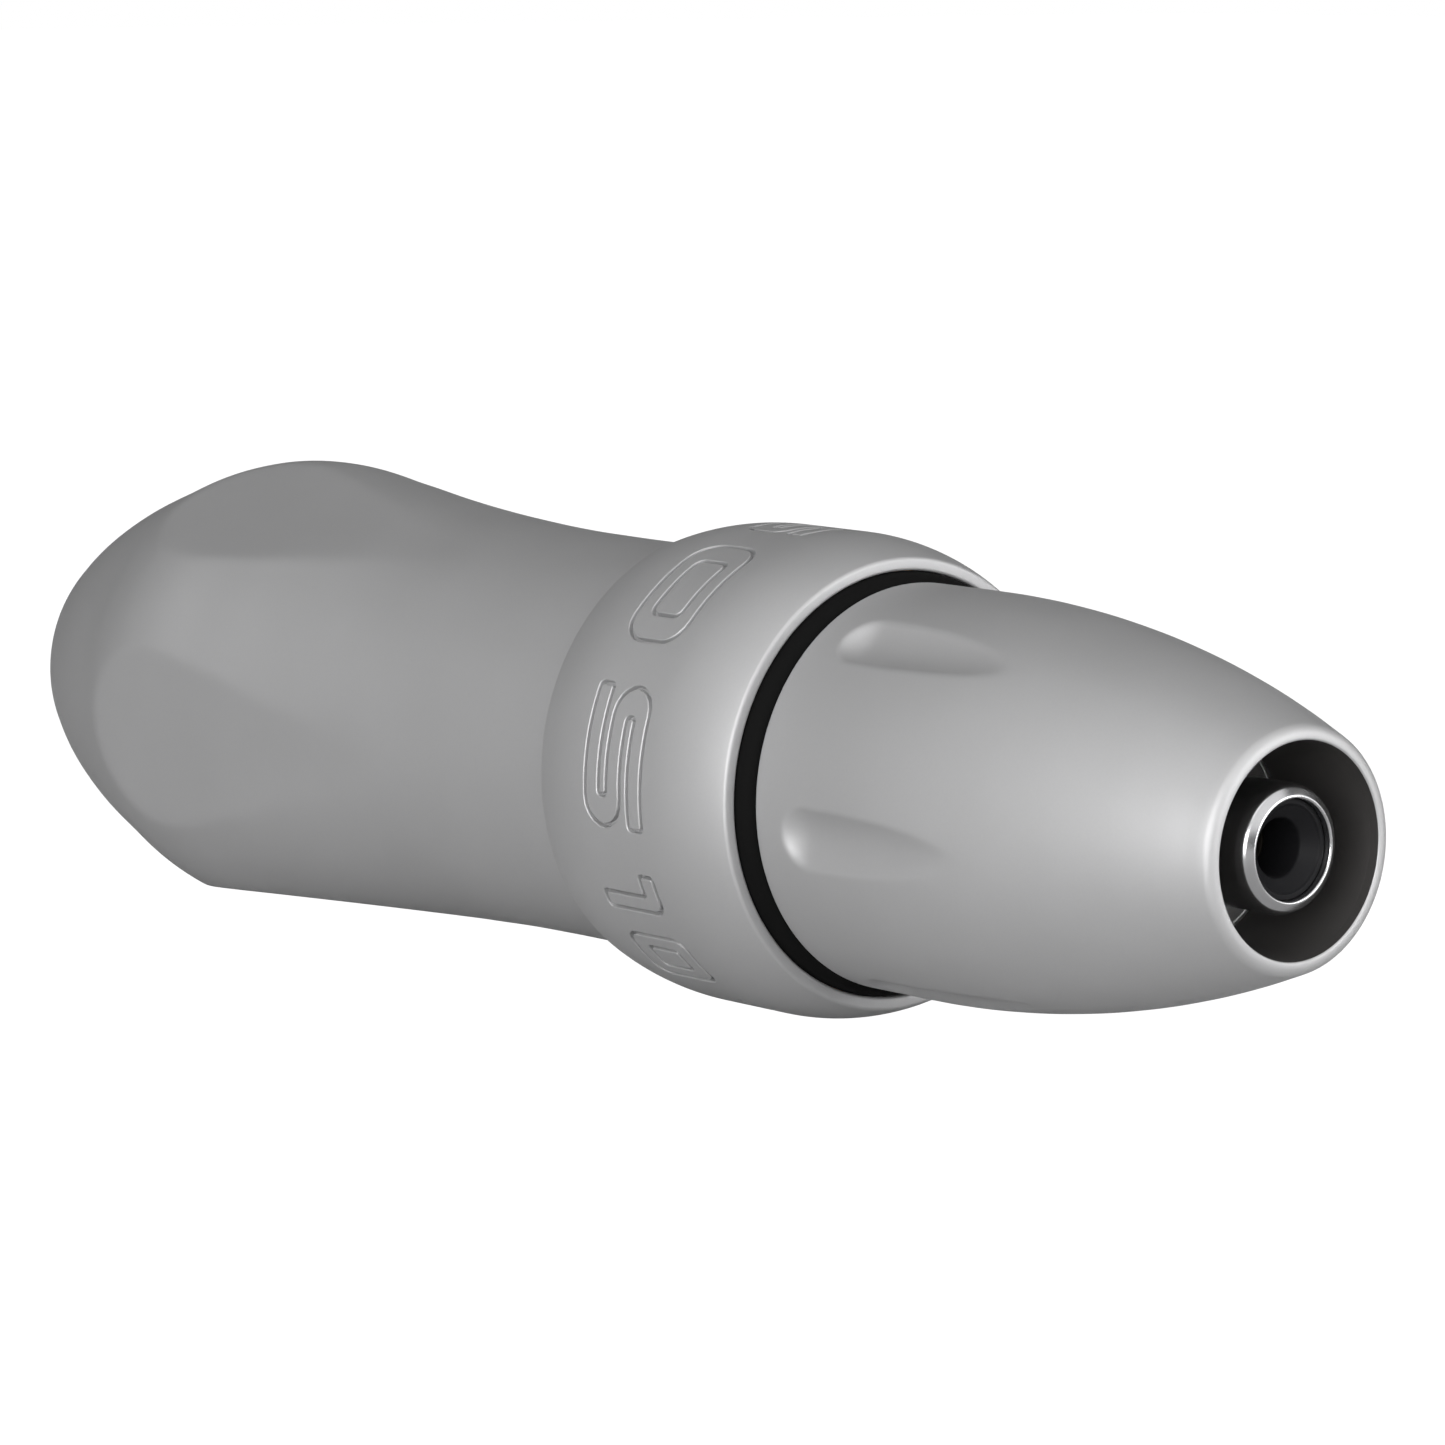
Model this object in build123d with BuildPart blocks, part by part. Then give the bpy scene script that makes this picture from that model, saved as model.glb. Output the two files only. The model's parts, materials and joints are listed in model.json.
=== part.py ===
"""Pen-style rotary machine with a screw-in rear body, built as separate pieces.

The axis of the pen is the X axis. X = 0 is the front face, where a needle cartridge goes in,
and +X runs back along the pen to the power jack. +Z is up. All sizes are in millimetres.
"""

import os
from math import asin, cos, radians, sin

from build123d import *

# ---------------------------------------------------------------- driving dimensions
# Lengths along the axis, from the front face backwards.
grip_length = 70.8
collar_length = 19.2
seam_gap = 1.1
tail_length = 36.4

# Clearances between pieces.
running_fit = 0.05
seated_fit = 0.02
face_gap = 0.3

# Grip: a waisted handle that swells to a hip near the front and has five soft flats.
nose_radius = 7.6
shoulder_x, shoulder_radius = 3.5, 10.5
cone_x, cone_radius = 13.0, 14.55
hip_x, hip_radius = 23.7, 16.96
waist_x, waist_radius = 41.7, 14.99
neck_x, neck_radius = 55.5, 14.15
flat_count = 5
flat_angle = 44.4
flat_start_x, flat_start_depth = 12.0, 16.35
flat_middle_x, flat_middle_depth = 32.0, 15.17
flat_end_x, flat_end_depth = 50.0, 14.46
grip_cavity_radius = 10.5
grip_cavity_wall = 4.0

# Cartridge seat in the nose of the grip.
cartridge_bore_radius = 4.05
cartridge_bore_length = 9.5
seat_radius = 6.2
seat_length = 22.0
seat_flange_radius = 6.7
seat_flange_thickness = 1.5
seat_passage_radius = 3.2
seat_stop_width = 2.0
seat_stop_radius = 5.0
cartridge_lead_length = 3.0
lug_notch_width = 1.6
lug_notch_depth = 3.0
lug_notch_radial = 1.0
cartridge_ring_section = 0.55
seat_ring_section = 0.5
seat_ring_setback = 6.6

# Collar: a barrel-shaped ring over the joint between grip and tail.
collar_radius = 16.46
collar_front_radius = 15.44
collar_rim_radius = 15.15
collar_shoulder = 6.5
collar_lap = 1.2
seam_bore_radius = 14.30
seam_bore_length = 10.0
rim_round = 0.35
collar_ring_section = 0.58

# Threaded spigot of the grip, which passes through the collar.
spigot_radius = 12.8
spigot_end_gap = 0.5
key_slot_width = 4.0
key_slot_length = 7.5

# Frame tube: threaded outside, it carries the motor and screws into the grip.
frame_radius = 11.40
frame_front_x = 40.0
frame_front_wall = 4.0
frame_wall = 1.6
frame_front_bore_radius = frame_radius - frame_wall
frame_bulkhead = 2.0
frame_bulkhead_hole_radius = 4.6
frame_tail_engagement = 9.9

# Key ring and seam O-ring, which travel with the tail without turning.
key_ring_thickness = 2.2
key_tab_length = 5.3
depth_travel = 3.5

# Tail shell: an ogive with six finger grooves and a well for the power jack.
tail_radius = 13.61
tail_straight = 6.0
lip_radius = 7.75
lip_depth = 0.8
lip_round = 0.3
well_radius = 6.92
well_depth = 9.0
liner_wall = 0.45
jack_plate_radius = 8.3
jack_plate_thickness = 2.0
jack_plate_chamfer = 0.3
plate_ring_width = 2.1
plate_ring_thickness = 1.5
tail_cone_length = 8.5
groove_count = 6
groove_angle = 7.1
groove_cutter_radius = 3.4
groove_bottom_radius = 12.8
groove_end_setback = 4.9
groove_run = 21.0

# Power jack: a phono socket, whose barrel is 8.3 mm across.
jack_radius = 4.15
jack_wall = 0.92
jack_nose_recess = 0.6
jack_nose_round = 0.72
jack_nose_inner_round = 0.15
jack_flange_radius = 4.9
jack_flange_thickness = 1.0
jack_thread_radius = 3.0
jack_thread_length = 7.5
jack_thread_bore_radius = 2.25
insulator_recess = 0.5
insulator_hole_radius = 1.85
insulator_funnel_radius = 2.75
insulator_funnel_depth = 0.5
contact_bore_radius = 1.6
contact_setback = 5.0
contact_shoulder = 0.5
contact_floor = 1.0
contact_tail_radius = 0.5
contact_tail_length = 3.0
jack_nut_flats = 8.0
jack_nut_thickness = 2.2
lug_thickness = 0.5
lug_radius = 4.2
lug_tab_width = 2.0
lug_tab_reach = 6.0

# Coreless motor.
motor_radius = 8.5
motor_length = 24.0
motor_lead_space = 3.0
motor_wall = 0.6
magnet_setback = 3.1
motor_front_wall = 1.5
end_cap_thickness = 3.0
end_cap_skin = 0.4
magnet_radius = motor_radius - magnet_setback
magnet_bore_radius = 2.7
magnet_length = 14.0
coil_clearance = 0.3
coil_start_gap = 1.5
coil_end_gap = 1.0
coil_wall = 0.9
coil_disc = 0.8
commutator_radius = 2.2
commutator_length = 1.8
bush_radius = 2.3
bush_length = 2.6
brush_width = 1.2
brush_length = 1.6
brush_recess_radius = magnet_radius
brush_recess_gap = 0.2
shaft_radius = 1.0
terminal_offset = 5.0
terminal_width = 2.0
terminal_thickness = 0.5
terminal_length = 2.0
mount_screw_radius = 1.0
mount_screw_head_radius = 1.7
mount_screw_head_height = 1.1
mount_screw_setback = 2.0
mount_screw_clearance = 0.3

# Leads inside the tail.
lead_radius = 0.4
lead_bend_radius = 1.8
lead_long_bend = 3.0
lead_bow = 1.2
lead_bow_length = 2.2

# Slanted stroke hub and its ball bearing, which turn rotation into a stroke.
stroke = 3.5
hub_gap = 1.5
bearing_width = 3.0
outer_race_wall = 1.4
race_gap = 1.2
inner_race_wall = 1.4
ball_radius = 0.9
ball_count = 9
cage_wall = 0.7
cage_width = 2.7
hub_shoulder_step = 0.8
hub_shoulder_thickness = 1.7
hub_boss_radius = 4.2
hub_boss_start = 2.7
hub_boss_length = 5.3
journal_nose = 1.1
circlip_step = 0.7
circlip_groove_depth = 0.4
circlip_thickness = 0.5
grub_screw_radius = 1.0
grub_screw_recess = 0.2
drive_pin_radius = 1.0
drive_pin_proud = 0.05
drive_pin_seat = 0.6

# Drive bar and its yoke.
bar_radius = 1.5
bar_front_x = 14.0
bar_tip_length = 2.0
bar_tip_radius = 1.3
yoke_hub_radius = 3.0
yoke_hub_length = 3.0
yoke_clearance = 0.45
yoke_disc_thickness = 2.0
yoke_arm_thickness = 1.3
yoke_arm_clearance = 0.45
yoke_arm_width = 6.8
yoke_slot_width = 2.6
yoke_end_wall = 1.4
bush_bore_clearance = 0.03
guide_bush_radius = 3.0
guide_nose = 2.0
guide_flange_radius = 4.5
guide_flange_thickness = 1.2
guide_circlip_thickness = 0.8
guide_circlip_radius = 4.0

# ---------------------------------------------------------------- stations along the axis
collar_front_x = grip_length
collar_rear_x = collar_front_x + collar_length
tail_front_x = collar_rear_x + seam_gap
rear_lip_x = tail_front_x + tail_length

lap_x = collar_front_x + collar_lap
seam_bore_x = collar_rear_x - seam_bore_length
thread_bore_radius = frame_radius + running_fit
frame_end_x = tail_front_x + frame_tail_engagement

seam_ring_section = (seam_bore_radius - frame_radius - 2 * running_fit) / 2
seam_ring_x = tail_front_x - seam_ring_section - running_fit
key_ring_rear_x = seam_ring_x - seam_ring_section - running_fit
key_ring_front_x = key_ring_rear_x - key_ring_thickness
spigot_end_x = key_ring_front_x - spigot_end_gap

well_floor_x = rear_lip_x - well_depth
plate_front_x = well_floor_x - jack_plate_thickness
plate_ring_front_x = plate_front_x - plate_ring_thickness
jack_nose_x = rear_lip_x - jack_nose_recess
jack_thread_end_x = well_floor_x - jack_thread_length
contact_rear_x = rear_lip_x - contact_setback
contact_end_x = jack_thread_end_x - contact_shoulder

motor_rear_x = contact_end_x - contact_tail_length - motor_lead_space
motor_front_x = motor_rear_x - motor_length
bulkhead_front_x = motor_front_x - frame_bulkhead
mount_screw_room = frame_front_bore_radius - mount_screw_head_radius - mount_screw_clearance
mount_screw_offset = min(motor_radius - mount_screw_setback, mount_screw_room)
can_end_x = motor_rear_x - end_cap_thickness
magnet_front_x = motor_front_x + motor_front_wall
coil_end_x = can_end_x - coil_end_gap
coil_disc_x = coil_end_x - coil_disc
coil_start_x = magnet_front_x + coil_start_gap
commutator_end_x = coil_end_x + commutator_length
brush_recess_x = commutator_end_x + brush_recess_gap
coil_inner_radius = magnet_radius + coil_clearance
coil_outer_radius = coil_inner_radius + coil_wall
can_bore_radius = motor_radius - motor_wall

yoke_disc_radius = frame_front_bore_radius - yoke_clearance
yoke_arm_inner_radius = yoke_disc_radius - yoke_arm_thickness
outer_race_radius = yoke_arm_inner_radius - yoke_arm_clearance
outer_race_bore_radius = outer_race_radius - outer_race_wall
inner_race_radius = outer_race_bore_radius - race_gap
journal_radius = inner_race_radius - inner_race_wall
hub_shoulder_radius = journal_radius + hub_shoulder_step
circlip_radius = journal_radius + circlip_step
circlip_inner_radius = journal_radius - circlip_groove_depth
drive_pin_reach = yoke_disc_radius + drive_pin_proud
hub_end_x = bulkhead_front_x - hub_gap
hub_boss_x = hub_end_x - hub_boss_length
bearing_x = hub_boss_x - hub_boss_start
pin_contact_radius = (yoke_arm_inner_radius + yoke_disc_radius) / 2
tilt = asin(stroke / 2 / pin_contact_radius)
tilt_direction = (cos(tilt), sin(tilt), 0)
bearing_plane = Plane(origin=(bearing_x, 0, 0), x_dir=(0, 0, 1), z_dir=tilt_direction)
ball_pitch_radius = (inner_race_radius + outer_race_bore_radius) / 2
shaft_front_x = bearing_x - bearing_width

pin_swing = drive_pin_reach * sin(tilt)
yoke_slot_half = pin_swing + drive_pin_radius + stroke / 2 + face_gap
yoke_arm_end_x = bearing_x + yoke_slot_half + yoke_end_wall
yoke_disc_rear_x = bearing_x - yoke_slot_half - yoke_end_wall
yoke_disc_front_x = yoke_disc_rear_x - yoke_disc_thickness
yoke_front_x = yoke_disc_front_x - yoke_hub_length


# ---------------------------------------------------------------- helpers
def ring(start_x, end_x, outer, inner=0, mode=Mode.ADD):
    """A plain ring or disc about the X axis, added to the current part."""
    with BuildSketch(Plane.YZ.offset(start_x)) as section:
        Circle(outer)
        if inner:
            Circle(inner, mode=Mode.SUBTRACT)
    extrude(section.sketch, amount=end_x - start_x, mode=mode)


def tilted_ring(start, end, outer, inner=0, mode=Mode.ADD):
    """A ring about the tilted bearing axis, measured from the bearing's centre."""
    with BuildSketch(bearing_plane.offset(start)) as section:
        Circle(outer)
        if inner:
            Circle(inner, mode=Mode.SUBTRACT)
    extrude(section.sketch, amount=end - start, mode=mode)


def radial_plane(angle):
    """The plane that holds the X axis and points out at this angle from +Y towards +Z."""
    turn = radians(angle)
    return Plane(origin=(0, 0, 0), x_dir=(1, 0, 0), z_dir=(0, -sin(turn), cos(turn)))


def finish(builder, name):
    """Label a finished piece and write it to its own file."""
    builder.part.label = name
    export_step(builder.part, f"parts/{name}.step")


os.makedirs("parts", exist_ok=True)

# ---------------------------------------------------------------- grip and cartridge seat
with BuildPart() as grip:
    with BuildSketch(Plane.XZ):
        with BuildLine():
            nose = Line((0, 0), (0, nose_radius))
            outline = Spline(
                nose @ 1,
                (shoulder_x, shoulder_radius),
                (cone_x, cone_radius),
                (hip_x, hip_radius),
                (waist_x, waist_radius),
                (neck_x, neck_radius),
                (lap_x, neck_radius),
                tangents=((0.35, 1), (1, 0)),
            )
            Polyline(
                outline @ 1,
                (lap_x, spigot_radius),
                (spigot_end_x, spigot_radius),
                (spigot_end_x, 0),
                (0, 0),
            )
        make_face()
    revolve(axis=Axis.X)
    for index in range(flat_count):
        with BuildSketch(radial_plane(flat_angle + index * 360 / flat_count)):
            with BuildLine():
                flat = ThreePointArc(
                    (flat_start_x, flat_start_depth),
                    (flat_middle_x, flat_middle_depth),
                    (flat_end_x, flat_end_depth),
                )
                Polyline(
                    flat @ 1,
                    (flat_end_x, hip_radius + 2),
                    (flat_start_x, hip_radius + 2),
                    flat @ 0,
                )
            make_face()
        extrude(amount=hip_radius, both=True, mode=Mode.SUBTRACT)
    ring(frame_front_x - grip_cavity_wall, spigot_end_x, thread_bore_radius, mode=Mode.SUBTRACT)
    ring(
        seat_length + seat_stop_width,
        frame_front_x - grip_cavity_wall,
        grip_cavity_radius,
        mode=Mode.SUBTRACT,
    )
    ring(0, seat_length + seated_fit, seat_radius + seated_fit, mode=Mode.SUBTRACT)
    ring(seat_length, seat_length + seat_stop_width, seat_stop_radius, mode=Mode.SUBTRACT)
    ring(0, seat_flange_thickness, seat_flange_radius + seated_fit, mode=Mode.SUBTRACT)
    with BuildSketch(Plane.XY):
        with Locations((spigot_end_x - key_slot_length / 2, 0)):
            Rectangle(key_slot_length, 4 * spigot_radius)
    # The two key slots cut only the end of the spigot, on its left and right sides.
    extrude(amount=key_slot_width / 2, both=True, mode=Mode.SUBTRACT)
finish(grip, "grip")

with BuildPart() as cartridge_seat:
    ring(0, seat_length, seat_radius)
    ring(0, seat_flange_thickness, seat_flange_radius)
    ring(
        0,
        cartridge_bore_length + cartridge_lead_length,
        cartridge_bore_radius,
        mode=Mode.SUBTRACT,
    )
    ring(0, seat_length, seat_passage_radius, mode=Mode.SUBTRACT)
    cartridge_ring_x = cartridge_bore_length + cartridge_ring_section + running_fit
    cartridge_ring_pitch = cartridge_bore_radius + cartridge_ring_section + running_fit
    ring(
        cartridge_bore_length,
        cartridge_ring_x + cartridge_ring_section + running_fit,
        cartridge_ring_pitch + cartridge_ring_section + running_fit,
        mode=Mode.SUBTRACT,
    )
    seat_ring_x = seat_length - seat_ring_setback
    seat_ring_pitch = seat_radius - seat_ring_section
    ring(
        seat_ring_x - seat_ring_section - running_fit,
        seat_ring_x + seat_ring_section + running_fit,
        seat_radius + 1,
        seat_ring_pitch - seat_ring_section - running_fit,
        mode=Mode.SUBTRACT,
    )
    with BuildSketch(Plane.YZ):
        Rectangle(2 * (cartridge_bore_radius + lug_notch_radial), lug_notch_width)
    extrude(amount=lug_notch_depth, mode=Mode.SUBTRACT)
finish(cartridge_seat, "cartridge_seat")

with BuildPart() as cartridge_o_ring:
    with Locations(Plane.YZ.offset(cartridge_ring_x)):
        Torus(cartridge_ring_pitch, cartridge_ring_section)
finish(cartridge_o_ring, "cartridge_o_ring")

with BuildPart() as seat_o_ring:
    with Locations(Plane.YZ.offset(seat_ring_x)):
        Torus(seat_ring_pitch, seat_ring_section)
finish(seat_o_ring, "seat_o_ring")

# ---------------------------------------------------------------- collar
with BuildPart() as collar:
    with BuildSketch(Plane.XZ):
        with BuildLine():
            front_rise = TangentArc(
                (collar_front_x + collar_shoulder, collar_radius),
                (collar_front_x, collar_front_radius),
                tangent=(-1, 0),
            )
            land = Line(
                (collar_front_x + collar_shoulder, collar_radius),
                (collar_rear_x - collar_shoulder, collar_radius),
            )
            rear_fall = TangentArc(
                land @ 1,
                (collar_rear_x, collar_rim_radius),
                tangent=(1, 0),
            )
            Polyline(
                rear_fall @ 1,
                (collar_rear_x, seam_bore_radius),
                (seam_bore_x, seam_bore_radius),
                (seam_bore_x, spigot_radius + running_fit),
                (lap_x, spigot_radius + running_fit),
                (lap_x, neck_radius + running_fit),
                (collar_front_x, neck_radius + running_fit),
                (collar_front_x, collar_front_radius),
            )
        make_face()
    revolve(axis=Axis.X)
    collar_ring_x = (lap_x + seam_bore_x) / 2
    collar_ring_pitch = spigot_radius + collar_ring_section + running_fit
    ring(
        collar_ring_x - collar_ring_section - running_fit,
        collar_ring_x + collar_ring_section + running_fit,
        collar_ring_pitch + collar_ring_section + running_fit,
        spigot_radius,
        mode=Mode.SUBTRACT,
    )
    rims = collar.edges().filter_by(GeomType.CIRCLE).filter_by(
        lambda edge: abs(edge.radius - collar_rim_radius) < 1e-6
    )
    fillet(rims, rim_round)
finish(collar, "collar")

with BuildPart() as collar_o_ring:
    with Locations(Plane.YZ.offset(collar_ring_x)):
        Torus(collar_ring_pitch, collar_ring_section)
finish(collar_o_ring, "collar_o_ring")

# ---------------------------------------------------------------- key ring and seam O-ring
with BuildPart() as key_ring:
    ring(
        key_ring_front_x,
        key_ring_rear_x,
        seam_bore_radius - running_fit,
        thread_bore_radius,
    )
    with BuildSketch(Plane.YZ.offset(key_ring_front_x)):
        Circle(spigot_radius - 2 * running_fit)
        Circle(thread_bore_radius, mode=Mode.SUBTRACT)
        Rectangle(4 * spigot_radius, key_slot_width - 4 * running_fit, mode=Mode.INTERSECT)
    extrude(amount=-key_tab_length)
finish(key_ring, "key_ring")

with BuildPart() as seam_o_ring:
    with Locations(Plane.YZ.offset(seam_ring_x)):
        Torus(frame_radius + running_fit + seam_ring_section, seam_ring_section)
finish(seam_o_ring, "seam_o_ring")

# ---------------------------------------------------------------- tail shell and jack
with BuildPart() as tail_shell:
    with BuildSketch(Plane.XZ):
        with BuildLine():
            straight = Line((tail_front_x, tail_radius), (tail_front_x + tail_straight, tail_radius))
            ogive = TangentArc(straight @ 1, (rear_lip_x, lip_radius), tangent=(1, 0))
            Polyline(
                ogive @ 1,
                (rear_lip_x, well_radius),
                (rear_lip_x - lip_depth, well_radius),
                (rear_lip_x - lip_depth, well_radius + liner_wall),
                (well_floor_x, well_radius + liner_wall),
                (well_floor_x, jack_plate_radius),
                (plate_ring_front_x, jack_plate_radius),
                (plate_ring_front_x - tail_cone_length, thread_bore_radius),
                (tail_front_x, thread_bore_radius),
                straight @ 0,
            )
        make_face()
    revolve(axis=Axis.X)
    lip_edges = tail_shell.edges().filter_by(GeomType.CIRCLE).filter_by(
        lambda edge: abs(edge.arc_center.X - rear_lip_x) < 1e-6
    )
    fillet(lip_edges, lip_round)
    groove_axis_radius = groove_bottom_radius + groove_cutter_radius
    for index in range(groove_count):
        turn = radians(groove_angle + index * 360 / groove_count)
        centre = (
            tail_front_x + groove_end_setback,
            groove_axis_radius * cos(turn),
            groove_axis_radius * sin(turn),
        )
        with Locations(centre):
            Sphere(groove_cutter_radius, mode=Mode.SUBTRACT)
        with BuildSketch(Plane(origin=centre, z_dir=(1, 0, 0))) as cutter:
            Circle(groove_cutter_radius)
        extrude(cutter.sketch, amount=groove_run, mode=Mode.SUBTRACT)
finish(tail_shell, "tail_shell")

with BuildPart() as well_liner:
    ring(well_floor_x, rear_lip_x - lip_depth, well_radius + liner_wall - seated_fit, well_radius)
finish(well_liner, "well_liner")

with BuildPart() as jack_plate:
    ring(plate_front_x, well_floor_x, jack_plate_radius - seated_fit, jack_thread_radius + seated_fit)
    plate_rim = jack_plate.edges().group_by(Axis.X)[-1].sort_by(SortBy.RADIUS)[-1]
    chamfer(plate_rim, jack_plate_chamfer)
finish(jack_plate, "jack_plate")

with BuildPart() as plate_ring:
    ring(
        plate_ring_front_x,
        plate_front_x,
        jack_plate_radius - running_fit,
        jack_plate_radius - plate_ring_width,
    )
finish(plate_ring, "plate_ring")

with BuildPart() as jack_barrel:
    flange_rear_x = well_floor_x + jack_flange_thickness
    ring(well_floor_x, flange_rear_x, jack_flange_radius)
    ring(flange_rear_x, jack_nose_x, jack_radius)
    ring(flange_rear_x, jack_nose_x, jack_radius - jack_wall, mode=Mode.SUBTRACT)
    nose_outer_edge = jack_barrel.edges().group_by(Axis.X)[-1].sort_by(SortBy.RADIUS)[-1]
    fillet(nose_outer_edge, jack_nose_round)
    nose_inner_edge = jack_barrel.edges().group_by(Axis.X)[-1].sort_by(SortBy.RADIUS)[0]
    fillet(nose_inner_edge, jack_nose_inner_round)
    ring(jack_thread_end_x, well_floor_x, jack_thread_radius)
    ring(jack_thread_end_x, flange_rear_x, jack_thread_bore_radius, mode=Mode.SUBTRACT)
finish(jack_barrel, "jack_barrel")

with BuildPart() as jack_insulator:
    insulator_rear_x = jack_nose_x - insulator_recess
    ring(flange_rear_x, insulator_rear_x, jack_radius - jack_wall - seated_fit, insulator_hole_radius)
    ring(
        insulator_rear_x - insulator_funnel_depth,
        insulator_rear_x,
        insulator_funnel_radius,
        mode=Mode.SUBTRACT,
    )
    ring(jack_thread_end_x, flange_rear_x, jack_thread_bore_radius - seated_fit, insulator_hole_radius)
finish(jack_insulator, "jack_insulator")

with BuildPart() as jack_contact:
    ring(contact_end_x, contact_rear_x, insulator_hole_radius - seated_fit)
    ring(
        contact_end_x + contact_floor,
        contact_rear_x,
        contact_bore_radius,
        mode=Mode.SUBTRACT,
    )
    ring(contact_end_x - contact_tail_length, contact_end_x, contact_tail_radius)
finish(jack_contact, "jack_contact")

with BuildPart() as ground_lug:
    with BuildSketch(Plane.YZ.offset(plate_front_x)):
        Circle(lug_radius)
        with Locations((0, -lug_tab_reach / 2)):
            Rectangle(lug_tab_width, lug_tab_reach)
        Circle(jack_thread_radius + seated_fit, mode=Mode.SUBTRACT)
    extrude(amount=-lug_thickness)
finish(ground_lug, "ground_lug")

with BuildPart() as jack_nut:
    with BuildSketch(Plane.YZ.offset(plate_front_x - lug_thickness)):
        RegularPolygon(jack_nut_flats / 2, 6, major_radius=False)
        Circle(jack_thread_radius + seated_fit, mode=Mode.SUBTRACT)
    extrude(amount=-jack_nut_thickness)
finish(jack_nut, "jack_nut")

# ---------------------------------------------------------------- frame tube and guide bush
with BuildPart() as frame_tube:
    ring(frame_front_x, frame_end_x, frame_radius)
    ring(
        frame_front_x + frame_front_wall,
        bulkhead_front_x,
        frame_front_bore_radius,
        mode=Mode.SUBTRACT,
    )
    ring(motor_front_x, frame_end_x, motor_radius + seated_fit, mode=Mode.SUBTRACT)
    ring(bulkhead_front_x, motor_front_x, frame_bulkhead_hole_radius, mode=Mode.SUBTRACT)
    ring(
        frame_front_x,
        frame_front_x + frame_front_wall,
        guide_bush_radius + seated_fit,
        mode=Mode.SUBTRACT,
    )
    with Locations(Plane.YZ.offset(bulkhead_front_x)):
        with Locations((mount_screw_offset, 0), (-mount_screw_offset, 0)):
            Cylinder(
                mount_screw_radius + seated_fit,
                3 * frame_bulkhead,
                mode=Mode.SUBTRACT,
            )
finish(frame_tube, "frame_tube")

guide_flange_end_x = frame_front_x + frame_front_wall + guide_flange_thickness
with BuildPart() as guide_bush:
    ring(frame_front_x - guide_nose, guide_flange_end_x, guide_bush_radius)
    ring(frame_front_x + frame_front_wall, guide_flange_end_x, guide_flange_radius)
    ring(
        frame_front_x - guide_nose,
        guide_flange_end_x,
        bar_radius + bush_bore_clearance,
        mode=Mode.SUBTRACT,
    )
finish(guide_bush, "guide_bush")

with BuildPart() as bush_circlip:
    ring(
        frame_front_x - guide_circlip_thickness,
        frame_front_x,
        guide_circlip_radius,
        guide_bush_radius + seated_fit,
    )
finish(bush_circlip, "bush_circlip")

# ---------------------------------------------------------------- motor
with BuildPart() as motor_can:
    ring(motor_front_x, can_end_x, motor_radius)
    ring(magnet_front_x, can_end_x, can_bore_radius, mode=Mode.SUBTRACT)
    ring(motor_front_x, magnet_front_x, bush_radius + seated_fit, mode=Mode.SUBTRACT)
    with Locations(Plane.YZ.offset(motor_front_x)):
        with Locations((mount_screw_offset, 0), (-mount_screw_offset, 0)):
            Cylinder(
                mount_screw_radius + seated_fit,
                4 * motor_front_wall,
                mode=Mode.SUBTRACT,
            )
finish(motor_can, "motor_can")

with BuildPart() as motor_front_bush:
    bush_front_x = magnet_front_x - bush_length
    ring(bush_front_x, magnet_front_x, bush_radius, shaft_radius + running_fit)
finish(motor_front_bush, "motor_front_bush")

with BuildPart() as motor_magnet:
    ring(magnet_front_x, magnet_front_x + magnet_length, magnet_radius, magnet_bore_radius)
finish(motor_magnet, "motor_magnet")

with BuildPart() as motor_end_cap:
    rear_bush_x = motor_rear_x - end_cap_skin
    ring(can_end_x, motor_rear_x, motor_radius)
    ring(can_end_x, brush_recess_x, brush_recess_radius, mode=Mode.SUBTRACT)
    ring(can_end_x, rear_bush_x, bush_radius + seated_fit, mode=Mode.SUBTRACT)
finish(motor_end_cap, "motor_end_cap")

with BuildPart() as motor_rear_bush:
    ring(brush_recess_x, rear_bush_x, bush_radius, shaft_radius + running_fit)
finish(motor_rear_bush, "motor_rear_bush")

with BuildPart() as motor_brushes:
    brush_start = commutator_radius + running_fit
    brush_reach = brush_recess_radius - 2 * running_fit - brush_start
    with Locations(Plane.YZ.offset(brush_recess_x)):
        with Locations((0, brush_start + brush_reach / 2), (0, -brush_start - brush_reach / 2)):
            Box(
                brush_width,
                brush_reach,
                brush_length,
                align=(Align.CENTER, Align.CENTER, Align.MAX),
            )
finish(motor_brushes, "motor_brushes")

with BuildPart() as motor_terminals:
    with Locations(Plane.YZ.offset(motor_rear_x)):
        with Locations((0, terminal_offset), (0, -terminal_offset)):
            Box(
                terminal_thickness,
                terminal_width,
                terminal_length,
                align=(Align.CENTER, Align.CENTER, Align.MIN),
            )
finish(motor_terminals, "motor_terminals")

with BuildPart() as motor_screws:
    with Locations(Plane.YZ.offset(bulkhead_front_x)):
        with Locations((mount_screw_offset, 0), (-mount_screw_offset, 0)):
            Cylinder(
                mount_screw_head_radius,
                mount_screw_head_height,
                align=(Align.CENTER, Align.CENTER, Align.MAX),
            )
            Cylinder(
                mount_screw_radius,
                frame_bulkhead + motor_front_wall,
                align=(Align.CENTER, Align.CENTER, Align.MIN),
            )
finish(motor_screws, "motor_screws")

# ---------------------------------------------------------------- rotor
with BuildPart() as motor_shaft:
    ring(shaft_front_x, rear_bush_x - end_cap_skin / 2, shaft_radius)
finish(motor_shaft, "motor_shaft")

with BuildPart() as armature_coil:
    ring(coil_start_x, coil_end_x, coil_outer_radius, coil_inner_radius)
    ring(coil_disc_x, coil_end_x, coil_outer_radius, shaft_radius)
finish(armature_coil, "armature_coil")

with BuildPart() as commutator:
    ring(coil_end_x, commutator_end_x, commutator_radius, shaft_radius)
finish(commutator, "commutator")

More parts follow.
